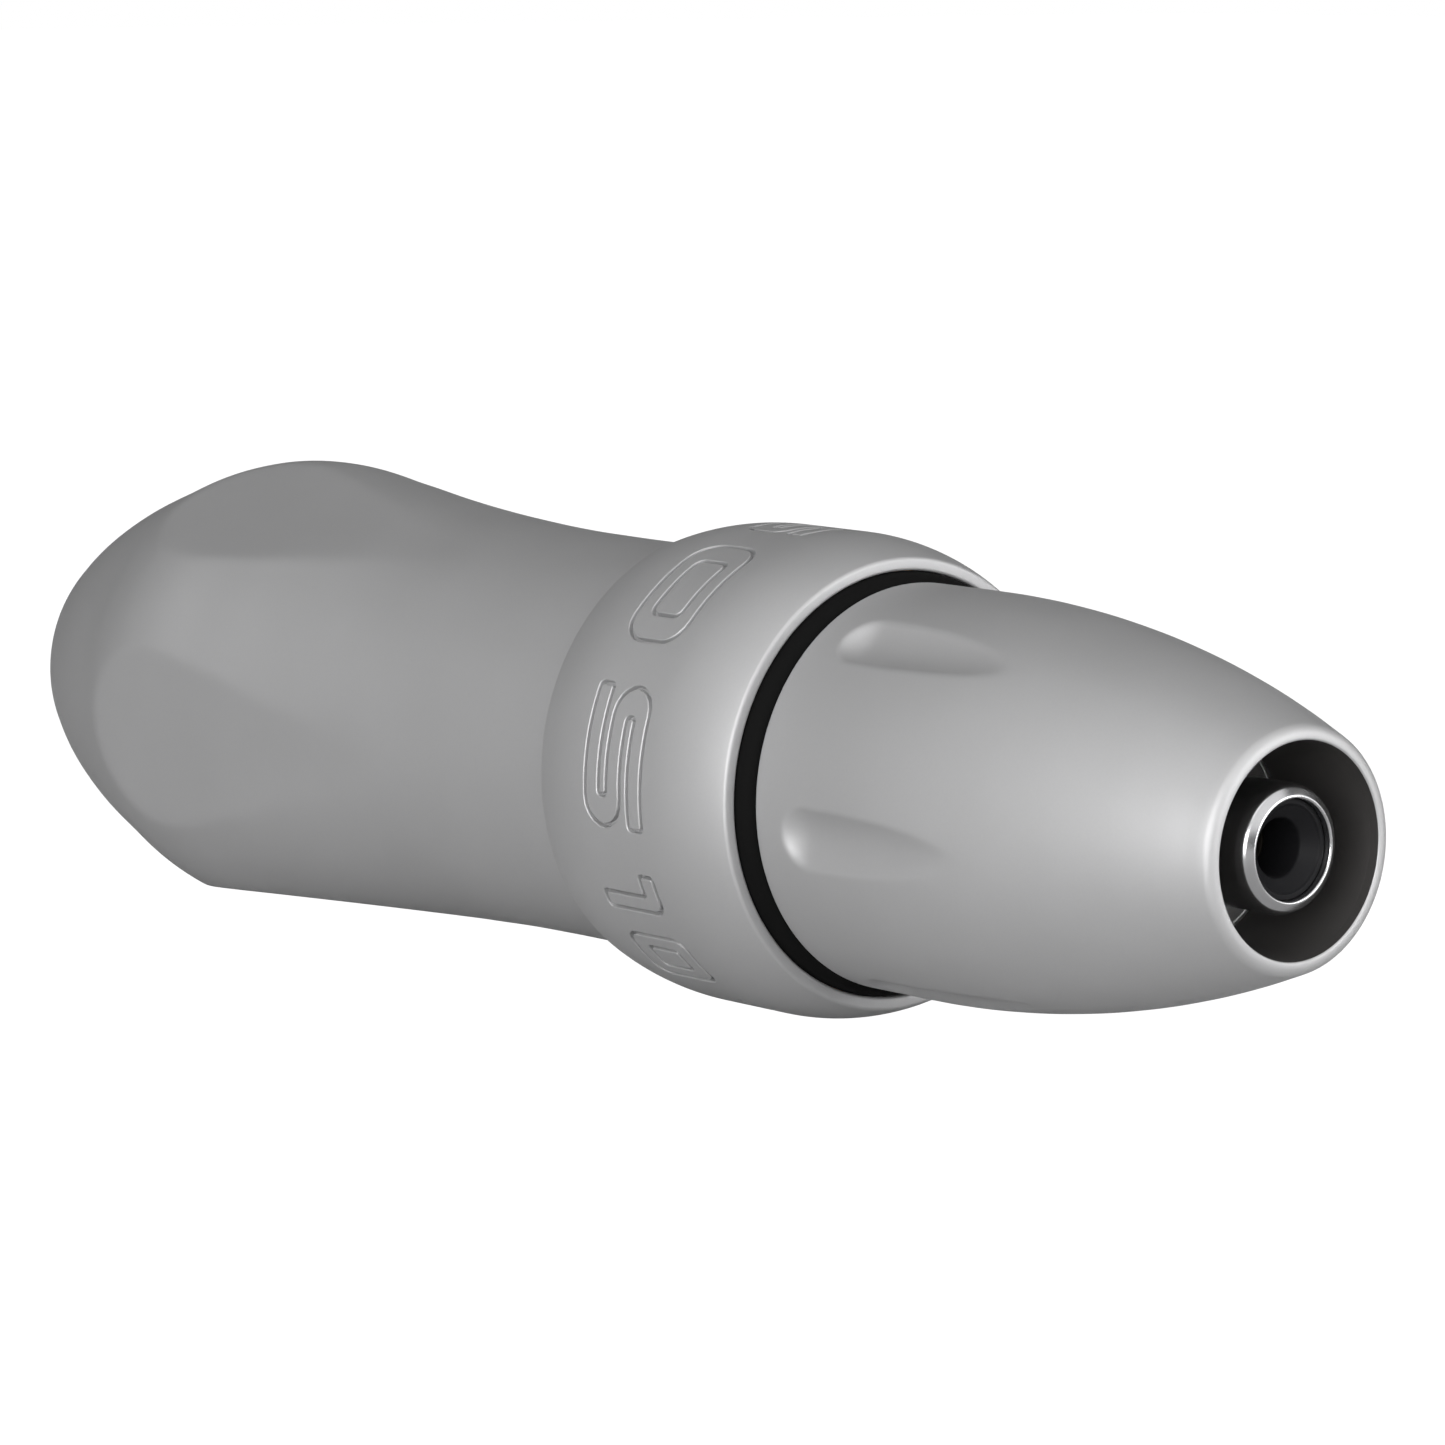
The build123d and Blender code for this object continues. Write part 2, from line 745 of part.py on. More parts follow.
with BuildPart() as stroke_hub:
    ring(hub_boss_x, hub_end_x, hub_boss_radius)
    tilted_ring(bearing_width / 2, bearing_width / 2 + hub_shoulder_thickness, hub_shoulder_radius)
    tilted_ring(-bearing_width / 2 - journal_nose, bearing_width / 2, journal_radius - seated_fit)
    circlip_rear = -bearing_width / 2
    circlip_front = circlip_rear - circlip_thickness
    tilted_ring(
        circlip_front,
        circlip_rear,
        journal_radius + 1,
        circlip_inner_radius,
        mode=Mode.SUBTRACT,
    )
    ring(shaft_front_x - bearing_width, hub_end_x, shaft_radius, mode=Mode.SUBTRACT)
    grub_x = (hub_boss_x + hub_end_x) / 2
    with Locations(Plane(origin=(grub_x, 0, 0), z_dir=(0, -1, 0))):
        Cylinder(
            grub_screw_radius + seated_fit,
            2 * hub_boss_radius,
            align=(Align.CENTER, Align.CENTER, Align.MIN),
            mode=Mode.SUBTRACT,
        )
finish(stroke_hub, "stroke_hub")

with BuildPart() as hub_grub_screw:
    with BuildSketch(Plane(origin=(grub_x, -shaft_radius - seated_fit, 0), z_dir=(0, -1, 0))):
        Circle(grub_screw_radius)
    extrude(amount=hub_boss_radius - shaft_radius - grub_screw_recess)
finish(hub_grub_screw, "hub_grub_screw")

with BuildPart() as bearing_inner_race:
    tilted_ring(-bearing_width / 2, bearing_width / 2, inner_race_radius, journal_radius)
    with Locations(bearing_plane):
        Torus(ball_pitch_radius, ball_radius + running_fit, mode=Mode.SUBTRACT)
finish(bearing_inner_race, "bearing_inner_race")

with BuildPart() as race_circlip:
    tilted_ring(circlip_front + seated_fit, circlip_rear, circlip_radius, circlip_inner_radius + seated_fit)
finish(race_circlip, "race_circlip")

# ---------------------------------------------------------------- balls and cage
with BuildPart() as bearing_balls:
    with Locations(bearing_plane):
        with PolarLocations(ball_pitch_radius, ball_count):
            Sphere(ball_radius)
finish(bearing_balls, "bearing_balls")

with BuildPart() as bearing_cage:
    tilted_ring(
        -cage_width / 2,
        cage_width / 2,
        ball_pitch_radius + cage_wall / 2,
        ball_pitch_radius - cage_wall / 2,
    )
    with Locations(bearing_plane):
        with PolarLocations(ball_pitch_radius, ball_count):
            Cylinder(
                ball_radius + running_fit,
                2 * cage_wall,
                rotation=(0, 90, 0),
                mode=Mode.SUBTRACT,
            )
finish(bearing_cage, "bearing_cage")

# ---------------------------------------------------------------- outer race and drive pin
with BuildPart() as bearing_outer_race:
    tilted_ring(-bearing_width / 2, bearing_width / 2, outer_race_radius, outer_race_bore_radius)
    with Locations(bearing_plane):
        Torus(ball_pitch_radius, ball_radius + running_fit, mode=Mode.SUBTRACT)
    with BuildSketch(Plane.XY.offset(outer_race_radius - drive_pin_seat)):
        with Locations((bearing_x, 0)):
            Circle(drive_pin_radius)
    extrude(amount=2 * drive_pin_seat, mode=Mode.SUBTRACT)
finish(bearing_outer_race, "bearing_outer_race")

with BuildPart() as drive_pin:
    with BuildSketch(Plane.XY.offset(outer_race_radius - drive_pin_seat)):
        with Locations((bearing_x, 0)):
            Circle(drive_pin_radius)
    extrude(amount=drive_pin_reach - outer_race_radius + drive_pin_seat)
finish(drive_pin, "drive_pin")

# ---------------------------------------------------------------- drive bar and yoke
with BuildPart() as drive_yoke:
    ring(yoke_disc_front_x, yoke_disc_rear_x, yoke_disc_radius)
    ring(yoke_front_x, yoke_disc_front_x, yoke_hub_radius)
    with BuildSketch(Plane.YZ.offset(yoke_disc_rear_x)):
        Circle(yoke_disc_radius)
        Circle(yoke_arm_inner_radius, mode=Mode.SUBTRACT)
        with Locations((0, yoke_disc_radius)):
            Rectangle(yoke_arm_width, yoke_disc_radius, mode=Mode.INTERSECT)
    extrude(amount=yoke_arm_end_x - yoke_disc_rear_x)
    with BuildSketch(Plane.XY.offset(yoke_hub_radius)):
        with Locations((bearing_x, 0)):
            Rectangle(2 * yoke_slot_half, yoke_slot_width)
    extrude(amount=yoke_disc_radius, mode=Mode.SUBTRACT)
    ring(yoke_front_x, yoke_disc_rear_x, bar_radius, mode=Mode.SUBTRACT)
finish(drive_yoke, "drive_yoke")

with BuildPart() as drive_bar:
    ring(bar_front_x, yoke_disc_rear_x, bar_radius)
finish(drive_bar, "drive_bar")

with BuildPart() as bar_tip:
    ring(bar_front_x - bar_tip_length, bar_front_x, bar_tip_radius)
finish(bar_tip, "bar_tip")

# ---------------------------------------------------------------- leads inside the tail
lead_turn_x = motor_rear_x + terminal_length / 2
with BuildPart() as lead_red:
    with BuildLine() as red_route:
        FilletPolyline(
            (contact_end_x - contact_tail_length, 0, 0),
            (lead_turn_x, 0, 0),
            (lead_turn_x, 0, terminal_offset - terminal_width / 2),
            radius=lead_bend_radius,
        )
    with BuildSketch(Plane(origin=red_route.line @ 0, z_dir=red_route.line % 0)):
        Circle(lead_radius)
    sweep()
finish(lead_red, "lead_red")

lug_tab_z = -lug_tab_reach + lug_tab_width / 2
black_start_x = plate_front_x - lug_thickness
black_end_x = motor_rear_x + terminal_length
black_bow_x = (black_start_x + black_end_x) / 2
with BuildPart() as lead_black:
    with BuildLine() as black_route:
        FilletPolyline(
            (black_start_x, 0, lug_tab_z),
            (black_bow_x + lead_bow_length, 0, lug_tab_z),
            (black_bow_x, lead_bow, lug_tab_z),
            (black_bow_x - lead_bow_length, 0, -terminal_offset),
            (black_end_x, 0, -terminal_offset),
            radius=[lead_long_bend, lead_bend_radius, lead_long_bend],
        )
    with BuildSketch(Plane(origin=black_route.line @ 0, z_dir=black_route.line % 0)):
        Circle(lead_radius)
    sweep()
finish(lead_black, "lead_black")
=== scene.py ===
# %% [markdown]
# # A pen-style rotary machine, seen from its power jack
# The pen is a handful of turned metal shells on one axis: a faceted grip, a barrel-shaped collar
# that carries the depth dial, and a bullet-shaped tail with six finger grooves. A power jack sits
# in a dark well at the rear end. The working parts inside come with the frame and only need a
# finish. The shells are made again here, because a close view of matte metal shows every facet.

# %% Load the frame
import json
from math import atan2, cos, hypot, pi, radians, sin, sqrt, tan

import bmesh
import bpy
import numpy as np
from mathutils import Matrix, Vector
from mathutils.geometry import delaunay_2d_cdt


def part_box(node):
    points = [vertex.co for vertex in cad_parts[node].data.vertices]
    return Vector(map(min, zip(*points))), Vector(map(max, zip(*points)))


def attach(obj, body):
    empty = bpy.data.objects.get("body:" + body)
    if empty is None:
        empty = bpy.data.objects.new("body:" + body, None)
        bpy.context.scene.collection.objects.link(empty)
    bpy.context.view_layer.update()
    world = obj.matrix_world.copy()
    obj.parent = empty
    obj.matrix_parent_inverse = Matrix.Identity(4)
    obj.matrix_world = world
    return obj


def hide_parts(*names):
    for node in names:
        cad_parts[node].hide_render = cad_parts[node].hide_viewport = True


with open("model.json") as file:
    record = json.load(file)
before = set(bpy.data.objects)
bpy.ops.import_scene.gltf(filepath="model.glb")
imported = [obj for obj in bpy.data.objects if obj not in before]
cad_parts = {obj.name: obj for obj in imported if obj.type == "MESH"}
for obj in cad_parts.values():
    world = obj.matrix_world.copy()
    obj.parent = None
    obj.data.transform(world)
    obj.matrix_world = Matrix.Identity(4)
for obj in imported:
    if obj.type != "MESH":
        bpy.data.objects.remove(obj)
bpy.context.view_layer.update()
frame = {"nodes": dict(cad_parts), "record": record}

scene = bpy.context.scene
MM = 0.001


def box_mm(node):
    """The lowest and highest corner of a piece of the frame, in millimetres."""
    low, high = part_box(node)
    return low / MM, high / MM


# %% [markdown]
# ## Stations along the axis
# X runs from the front face, where the needle cartridge goes in, back to the jack. Each shell's
# ends and radius are read from the frame's own boxes, so a piece made here starts and stops where
# the part does. Sizes below are in millimetres, and a mesh is scaled to metres when it is made.

# %% Read the stations
SEAM_BORE_LENGTH = 10.0
collar_front = box_mm("collar")[0].x
collar_rear = box_mm("collar")[1].x
collar_radius = box_mm("collar")[1].z
tail_front = box_mm("tail_shell")[0].x
rear_lip = box_mm("tail_shell")[1].x
tail_radius = box_mm("tail_shell")[1].z
well_floor = box_mm("jack_plate")[1].x
plate_front = box_mm("jack_plate")[0].x
jack_nose = box_mm("jack_barrel")[1].x
spigot_end = box_mm("grip")[1].x
ring_front = box_mm("seam_o_ring")[0].x
ring_rear = box_mm("seam_o_ring")[1].x
seam_bore_start = collar_rear - SEAM_BORE_LENGTH
mounts = {mount["name"]: mount for mount in frame["record"]["mounts"]}
jack_radius = mounts["power_jack"]["dims"]["r_mm"]
floor_z = min(box_mm("collar")[0].z, box_mm("grip")[0].z)
print("collar", collar_front, collar_rear, "tail", tail_front, rear_lip, "floor", floor_z)

# %% [markdown]
# ## Camera
# The pen is seen from behind and a little to one side, with the jack nearest, through a long
# lens that still makes the near end clearly larger. The camera is placed by its azimuth and
# elevation round a point in the middle of the pen, which keeps it level.

# %% Place the camera
CAMERA_AZIMUTH = radians(50.5)
CAMERA_ELEVATION = radians(7.62)
CAMERA_DISTANCE = 0.430
CAMERA_AIM = Vector((0.05944, 0.00981, 0.00018))

back = Vector((
    sin(CAMERA_AZIMUTH) * cos(CAMERA_ELEVATION),
    -cos(CAMERA_AZIMUTH) * cos(CAMERA_ELEVATION),
    sin(CAMERA_ELEVATION),
))
camera = bpy.data.objects.new("camera", bpy.data.cameras.new("camera"))
scene.collection.objects.link(camera)
camera.data.lens = 149.9
camera.data.sensor_width = 36
camera.data.clip_start = 0.01
camera.data.clip_end = 20
camera.location = CAMERA_AIM + back * CAMERA_DISTANCE
camera.rotation_mode = "QUATERNION"
camera.rotation_quaternion = (-back).to_track_quat("-Z", "Y")
scene.camera = camera
print("camera at", tuple(camera.location))

# %% [markdown]
# ## Shader and geometry sums
# Node trees are easier to read as sums than as boxes and wires. The class below wraps a socket, so
# that `1 - mask` or `a * b` adds the Math nodes for it. The same Math node works in a material and
# in Geometry Nodes, so one class serves both.

# %% Wrap sockets for sums
class Value:
    """A socket that takes part in sums. Each sum adds one Math node."""

    def __init__(self, graph, socket):
        self.graph = graph
        self.socket = socket

    def math(self, operation, *others):
        sockets = dict(enumerate((self, *others)))
        return self.graph.node("ShaderNodeMath", {"operation": operation}, sockets)

    def __add__(self, other):
        return self.math("ADD", other)

    __radd__ = __add__

    def __sub__(self, other):
        return self.math("SUBTRACT", other)

    def __rsub__(self, other):
        return self.graph.node("ShaderNodeMath", {"operation": "SUBTRACT"}, {0: other, 1: self})

    def __mul__(self, other):
        return self.math("MULTIPLY", other)

    __rmul__ = __mul__

    def __truediv__(self, other):
        return self.math("DIVIDE", other)

    def __pow__(self, other):
        return self.math("POWER", other)


class Graph:
    """Adds nodes to a node tree: settings first, then the values or links of its sockets."""

    def __init__(self, tree):
        self.tree = tree

    def node(self, kind, settings=None, sockets=None, output=0):
        made = self.tree.nodes.new(kind)
        for name, value in (settings or {}).items():
            setattr(made, name, value)
        for name, value in (sockets or {}).items():
            if isinstance(value, Value):
                self.tree.links.new(value.socket, made.inputs[name])
            else:
                made.inputs[name].default_value = value
        return Value(self, made.outputs[output])


# %% [markdown]
# ## Finishes
# Every finish is a Principled shader whose colour, roughness and fine relief vary a little over
# the piece, in Object coordinates. The pieces are small, so the patterns are too: the grain of
# bead-blasted metal is about a sixth of a millimetre.

# %% Start a material
materials = {}


def new_material(name, metallic, roughness, specular=0.5):
    """A material with its Principled shader, and the graph to add to."""
    material = bpy.data.materials.new(name)
    material.use_nodes = True
    shader = material.node_tree.nodes["Principled BSDF"]
    shader.inputs["Metallic"].default_value = metallic
    shader.inputs["Roughness"].default_value = roughness
    shader.inputs["Specular IOR Level"].default_value = specular
    materials[name] = material
    return shader, Graph(material.node_tree)


def feed(shader, graph, name, value):
    """Link a value to one of the shader's sockets."""
    graph.tree.links.new(value.socket, shader.inputs[name])


def object_place(graph):
    return graph.node("ShaderNodeTexCoord", output=3)


def noise(graph, place, size_mm, detail):
    """Noise from 0 to 1 whose features are about this many millimetres wide."""
    sockets = {"Vector": place, "Scale": 1 / (size_mm * MM), "Detail": detail}
    return graph.node("ShaderNodeTexNoise", {"noise_dimensions": "3D"}, sockets)


def shade(graph, colour, factor):
    """One colour made lighter or darker by a factor near 1."""
    scaled = graph.node("ShaderNodeCombineXYZ", None, {0: factor, 1: factor, 2: factor})
    sockets = {0: colour, 1: scaled}
    return graph.node("ShaderNodeVectorMath", {"operation": "MULTIPLY"}, sockets)


def relief(shader, graph, height, depth_mm):
    """Bump from a height of 0 to 1, this many millimetres deep."""
    sockets = {"Height": height, "Distance": depth_mm * MM, "Strength": 1.0}
    bump = graph.node("ShaderNodeBump", None, sockets)
    feed(shader, graph, "Normal", bump)


# %% [markdown]
# The shells are bead-blasted and anodised a neutral grey. Blasting leaves a fine even grain that
# spreads every highlight, and the anodic layer makes the metal look almost chalky.

# %% Bead-blasted anodised metal
def blasted_metal(name, colour, metallic=0.6, roughness=0.56):
    shader, graph = new_material(name, metallic, roughness)
    place = object_place(graph)
    grain = noise(graph, place, 0.16, 3.0)
    cloud = noise(graph, place, 9.0, 2.0)
    feed(shader, graph, "Base Color", shade(graph, colour, 0.93 + 0.08 * cloud + 0.06 * grain))
    feed(shader, graph, "Roughness", roughness - 0.04 + 0.05 * cloud + 0.04 * grain)
    relief(shader, graph, grain, 0.004)


# %% [markdown]
# Turned pieces carry the fine rings that the lathe tool leaves. The rings are a noise read along
# two lengths only, the distance from the axis and the place along it, so they never break.

# %% Turned, ground and polished metal
def turned_metal(name, colour, roughness, pitch_mm, depth_mm=0.002):
    shader, graph = new_material(name, 1.0, roughness)
    place = object_place(graph)
    parts = graph.tree.nodes.new("ShaderNodeSeparateXYZ")
    graph.tree.links.new(place.socket, parts.inputs[0])
    x, y, z = (Value(graph, output) for output in parts.outputs)
    radius = (y * y + z * z) ** 0.5
    along = graph.node("ShaderNodeCombineXYZ", None, {0: x, 1: radius, 2: 0.0})
    rings = noise(graph, along, pitch_mm, 3.0)
    smear = noise(graph, place, 3.0, 2.0)
    feed(shader, graph, "Base Color", shade(graph, colour, 0.9 + 0.12 * rings + 0.06 * smear))
    feed(shader, graph, "Roughness", roughness * 0.8 + 0.2 * roughness * (rings + smear))
    relief(shader, graph, rings, depth_mm)


# %% [markdown]
# Plastic and rubber keep the skin of their mould: a soft grain, a little dust and almost no
# colour change. The same rule serves all of them with another grain size and gloss.

# %% Moulded plastic and rubber
def moulded(name, colour, roughness, grain_mm=0.12, depth_mm=0.003, specular=0.5):
    shader, graph = new_material(name, 0.0, roughness, specular)
    place = object_place(graph)
    grain = noise(graph, place, grain_mm, 2.0)
    dust = noise(graph, place, 1.4, 4.0)
    feed(shader, graph, "Base Color", shade(graph, colour, 0.85 + 0.2 * grain + 0.15 * dust))
    feed(shader, graph, "Roughness", roughness - 0.06 + 0.08 * grain + 0.06 * dust)
    relief(shader, graph, grain, depth_mm)


# %% [markdown]
# The armature coil is enamelled copper wire in tight turns. Its rule is a sine along the axis,
# twisted a little round it, which shades the gaps between turns.

# %% Enamelled winding
def winding(name, colour, wire_mm):
    shader, graph = new_material(name, 0.9, 0.3)
    place = object_place(graph)
    parts = graph.tree.nodes.new("ShaderNodeSeparateXYZ")
    graph.tree.links.new(place.socket, parts.inputs[0])
    x, y, z = (Value(graph, output) for output in parts.outputs)
    turns = ((x + y * 0.3 + z * 0.3) * (2 * pi / (wire_mm * MM))).math("SINE") * 0.5 + 0.5
    feed(shader, graph, "Base Color", shade(graph, colour, 0.45 + 0.55 * turns))
    feed(shader, graph, "Roughness", 0.42 - 0.15 * turns)
    relief(shader, graph, turns, 0.05)


# %% Make every finish that the record names
blasted_metal("anodised_grey", (0.50, 0.50, 0.505))
turned_metal("plate_grey", (0.62, 0.62, 0.62), 0.34, 0.12)
turned_metal("machined_aluminium", (0.72, 0.72, 0.73), 0.30, 0.15)
turned_metal("seat_steel", (0.58, 0.58, 0.59), 0.28, 0.10)
turned_metal("plated_steel", (0.66, 0.65, 0.62), 0.26, 0.20)
turned_metal("ground_steel", (0.66, 0.66, 0.67), 0.18, 0.06, 0.0008)
turned_metal("spring_steel", (0.10, 0.10, 0.11), 0.36, 0.10)
turned_metal("jack_chrome", (0.64, 0.64, 0.65), 0.24, 0.30, 0.0002)
turned_metal("brass", (0.78, 0.60, 0.30), 0.26, 0.12)
# Blackened brass is near-black: painted shade for the pin contact deep in the jack's hole, where
# little light reaches.
turned_metal("blackened_brass", (0.030, 0.027, 0.022), 0.50, 0.12)
turned_metal("bronze", (0.60, 0.40, 0.22), 0.42, 0.10)
turned_metal("magnet_grey", (0.45, 0.45, 0.46), 0.32, 0.20)
moulded("black_rubber", (0.005, 0.005, 0.005), 0.75, 0.10, specular=0.06)
moulded("black_plastic", (0.008, 0.008, 0.009), 0.50, 0.15, 0.002, specular=0.12)
# Near-black for the well's lining: painted shade of the deep well.
moulded("liner_black", (0.033, 0.031, 0.030), 0.60, 0.15, 0.002, specular=0.4)
moulded("cage_nylon", (0.78, 0.76, 0.66), 0.45)
moulded("tip_nylon", (0.86, 0.86, 0.83), 0.40)
moulded("carbon", (0.03, 0.03, 0.032), 0.70, 0.05)
moulded("red_insulation", (0.55, 0.02, 0.015), 0.30, 0.30, 0.001)
moulded("black_insulation", (0.015, 0.015, 0.015), 0.30, 0.30, 0.001)
winding("copper_winding", (0.72, 0.34, 0.18), 0.22)
print("finishes:", len(materials))

# %% [markdown]
# ## Finish the pieces that come with the frame
# The record says which finish each piece takes. A piece of the frame keeps its own shape, so it is
# enough to put the material in its slot.

# %% Dress the frame's own pieces
finish_of = {entry["node"]: entry["material_slot"] for entry in frame["record"]["subparts"]}
for node, piece in frame["nodes"].items():
    piece.data.materials.clear()
    piece.data.materials.append(materials[finish_of[node]])
print("dressed:", len(frame["nodes"]), "pieces in", len(set(finish_of.values())), "finishes")

# %% [markdown]
# ## Outlines with rounded corners
# A turned shell is a profile spun round the axis, and a numeral is a flat outline. Both are
# polygons whose corners are rounded, so one helper serves both: each corner gives its two
# coordinates and a radius, and the helper puts an arc there.

# %% Round the corners of an outline
def rounded(corners, steps=6, closed=True):
    """Points along a polygon whose corners (a, b, radius) are replaced by arcs."""
    points = []
    count = len(corners)
    for index, (a, b, radius) in enumerate(corners):
        here = np.array((a, b), float)
        at_end = not closed and index in (0, count - 1)
        if radius <= 0 or at_end:
            points.append(here)
            continue
        before = np.array(corners[index - 1][:2], float) - here
        after = np.array(corners[(index + 1) % count][:2], float) - here
        before /= np.linalg.norm(before)
        after /= np.linalg.norm(after)
        half = np.arccos(np.clip(before @ after, -1, 1)) / 2
        reach = radius / tan(half)
        centre = here + (before + after) / np.linalg.norm(before + after) * radius / sin(half)
        start = here + before * reach - centre
        end = here + after * reach - centre
        sweep = atan2(start[0] * end[1] - start[1] * end[0], start @ end)
        for step in range(steps + 1):
            turn = sweep * step / steps
            x = start[0] * cos(turn) - start[1] * sin(turn)
            y = start[0] * sin(turn) + start[1] * cos(turn)
            points.append(centre + (x, y))
    return np.array(points)


# %% [markdown]
# ## Spin a profile
# The lathe takes a profile in millimetres, as distance along the axis and radius. A closed
# profile gives a whole piece, and an open one only the walls that another mesh doesn't make. The
# normals are worked out again when the mesh is whole, so that every face points outwards.

# %% A lathe for profiles
COLUMNS = 240
SHARP_ANGLE = radians(32)


def mesh_piece(name, points_mm, faces, finish):
    """A smooth-shaded piece from points in millimetres, with its hard edges marked."""
    mesh = bpy.data.meshes.new(name)
    mesh.from_pydata([tuple(point) for point in np.asarray(points_mm) * MM], [], faces)
    work = bmesh.new()
    work.from_mesh(mesh)
    bmesh.ops.remove_doubles(work, verts=work.verts, dist=1e-7)
    bmesh.ops.recalc_face_normals(work, faces=work.faces)
    work.to_mesh(mesh)
    work.free()
    mesh.shade_smooth()
    mesh.set_sharp_from_angle(angle=SHARP_ANGLE)
    mesh.materials.append(materials[finish])
    piece = bpy.data.objects.new(name, mesh)
    scene.collection.objects.link(piece)
    return piece


def spin(profile, columns=COLUMNS, first_row=0, start=0.0, closed=True):
    """Points and faces of a profile spun round the X axis, from a starting angle."""
    turns = start + np.arange(columns) * 2 * pi / columns
    x = np.repeat(profile[:, 0], columns)
    radius = np.repeat(profile[:, 1], columns)
    turn = np.tile(turns, len(profile))
    points = np.column_stack((x, radius * np.cos(turn), radius * np.sin(turn)))
    faces = []
    rows = len(profile)
    for row in range(rows if closed else rows - 1):
        following = (row + 1) % rows
        for column in range(columns):
            beside = (column + 1) % columns
            faces.append((
                first_row + row * columns + column,
                first_row + row * columns + beside,
                first_row + following * columns + beside,
                first_row + following * columns + column,
            ))
    return points, faces


def turned_piece(name, body, node, corners, finish, columns=COLUMNS, steps=6):
    """A turned piece that stands for one node of the frame."""
    points, faces = spin(rounded(corners, steps), columns)
    stand_in(mesh_piece(name, points, faces, finish), body, node)


def stand_in(piece, body, node):
    """Let a finished piece ride on its body in place of the frame's node."""
    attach(piece, body)
    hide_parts(node)
    print(piece.name, "faces", len(piece.data.polygons))


# %% [markdown]
# ## Skins made by a rule
# The grip and the tail are not quite round: flats and grooves are cut into them at equal angles.
# Each is a rule, "how far out is the surface at this place and this angle", so Geometry Nodes can
# make it. A profile curve gives the radius, the angle is folded into one sector, and the cut is
# laid over the profile with a smooth minimum, which leaves the soft edges of a polished tool cut.

# %% Build a skin tree
CURVE_STEPS = 24


def profile_curve(name, points):
    """A smooth curve in the XZ plane through (x, radius) points, as the source of a skin."""
    curve = bpy.data.curves.new(name, "CURVE")
    curve.dimensions = "3D"
    curve.resolution_u = CURVE_STEPS
    spline = curve.splines.new("BEZIER")
    spline.bezier_points.add(len(points) - 1)
    for knot, (x, radius) in zip(spline.bezier_points, points):
        knot.co = (x * MM, 0, radius * MM)
        knot.handle_left_type = "AUTO"
        knot.handle_right_type = "AUTO"
    curve_object = bpy.data.objects.new(name, curve)
    scene.collection.objects.link(curve_object)
    return curve_object


def skin_tree(name, inputs, cut):
    """A tree that spins its input curve and lets cut(inputs, x, radius, angle) shape it."""
    tree = bpy.data.node_groups.new(name, "GeometryNodeTree")
    interface = tree.interface
    interface.new_socket("Geometry", in_out="INPUT", socket_type="NodeSocketGeometry")
    interface.new_socket("Geometry", in_out="OUTPUT", socket_type="NodeSocketGeometry")
    for label, (kind, value) in inputs.items():
        socket = interface.new_socket(label, in_out="INPUT", socket_type=kind)
        socket.default_value = value
    graph = Graph(tree)
    entry = tree.nodes.new("NodeGroupInput")
    given = {output.name: Value(graph, output) for output in entry.outputs if output.name}
    grid = graph.node(
        "GeometryNodeMeshGrid",
        None,
        {"Size X": 1.0, "Size Y": 1.0, "Vertices X": given["Rows"], "Vertices Y": given["Columns"]},
    )
    place = graph.node("GeometryNodeInputPosition")
    flat = tree.nodes.new("ShaderNodeSeparateXYZ")
    tree.links.new(place.socket, flat.inputs[0])
    along = Value(graph, flat.outputs[0]) + 0.5
    angle = (Value(graph, flat.outputs[1]) + 0.5) * (2 * pi)
    sample = graph.node(
        "GeometryNodeSampleCurve",
        {"mode": "FACTOR", "data_type": "FLOAT_VECTOR"},
        {"Curves": given["Geometry"], "Factor": along},
        output="Position",
    )
    station = tree.nodes.new("ShaderNodeSeparateXYZ")
    tree.links.new(sample.socket, station.inputs[0])
    x = Value(graph, station.outputs[0])
    radius = Value(graph, station.outputs[2])
    shaped = cut(given, x, radius, angle)
    target = graph.node(
        "ShaderNodeCombineXYZ",
        None,
        {0: x, 1: shaped * angle.math("COSINE"), 2: shaped * angle.math("SINE")},
    )
    moved = graph.node("GeometryNodeSetPosition", None, {"Geometry": grid, "Position": target})
    merged = graph.node("GeometryNodeMergeByDistance", None, {"Geometry": moved, "Distance": 1e-7})
    real = graph.node("GeometryNodeRealizeInstances", None, {"Geometry": merged})
    painted = graph.node(
        "GeometryNodeSetMaterial",
        None,
        {"Geometry": real, "Material": materials["anodised_grey"]},
    )
    leave = tree.nodes.new("NodeGroupOutput")
    tree.links.new(painted.socket, leave.inputs["Geometry"])
    return tree


def skin_points(curve_object, tree):
    """Run a skin tree on a profile curve, and return its points and faces in millimetres."""
    modifier = curve_object.modifiers.new("skin", "NODES")
    modifier.node_group = tree
    depsgraph = bpy.context.evaluated_depsgraph_get()
    mesh = bpy.data.meshes.new_from_object(curve_object.evaluated_get(depsgraph))
    points = np.empty(len(mesh.vertices) * 3, np.float32)
    mesh.vertices.foreach_get("co", points)
    faces = [tuple(face.vertices) for face in mesh.polygons]
    bpy.data.objects.remove(curve_object)
    return points.reshape(-1, 3).astype(float) / MM, faces


def shell_piece(name, skin, skin_faces, profile, columns):
    """A skin closed from inside by an open profile, whose ends meet the skin's two rims."""
    inside, inside_faces = spin(profile, columns, len(skin), closed=False)
    points = np.vstack((skin, inside))
    return mesh_piece(name, points, skin_faces + inside_faces, "anodised_grey")


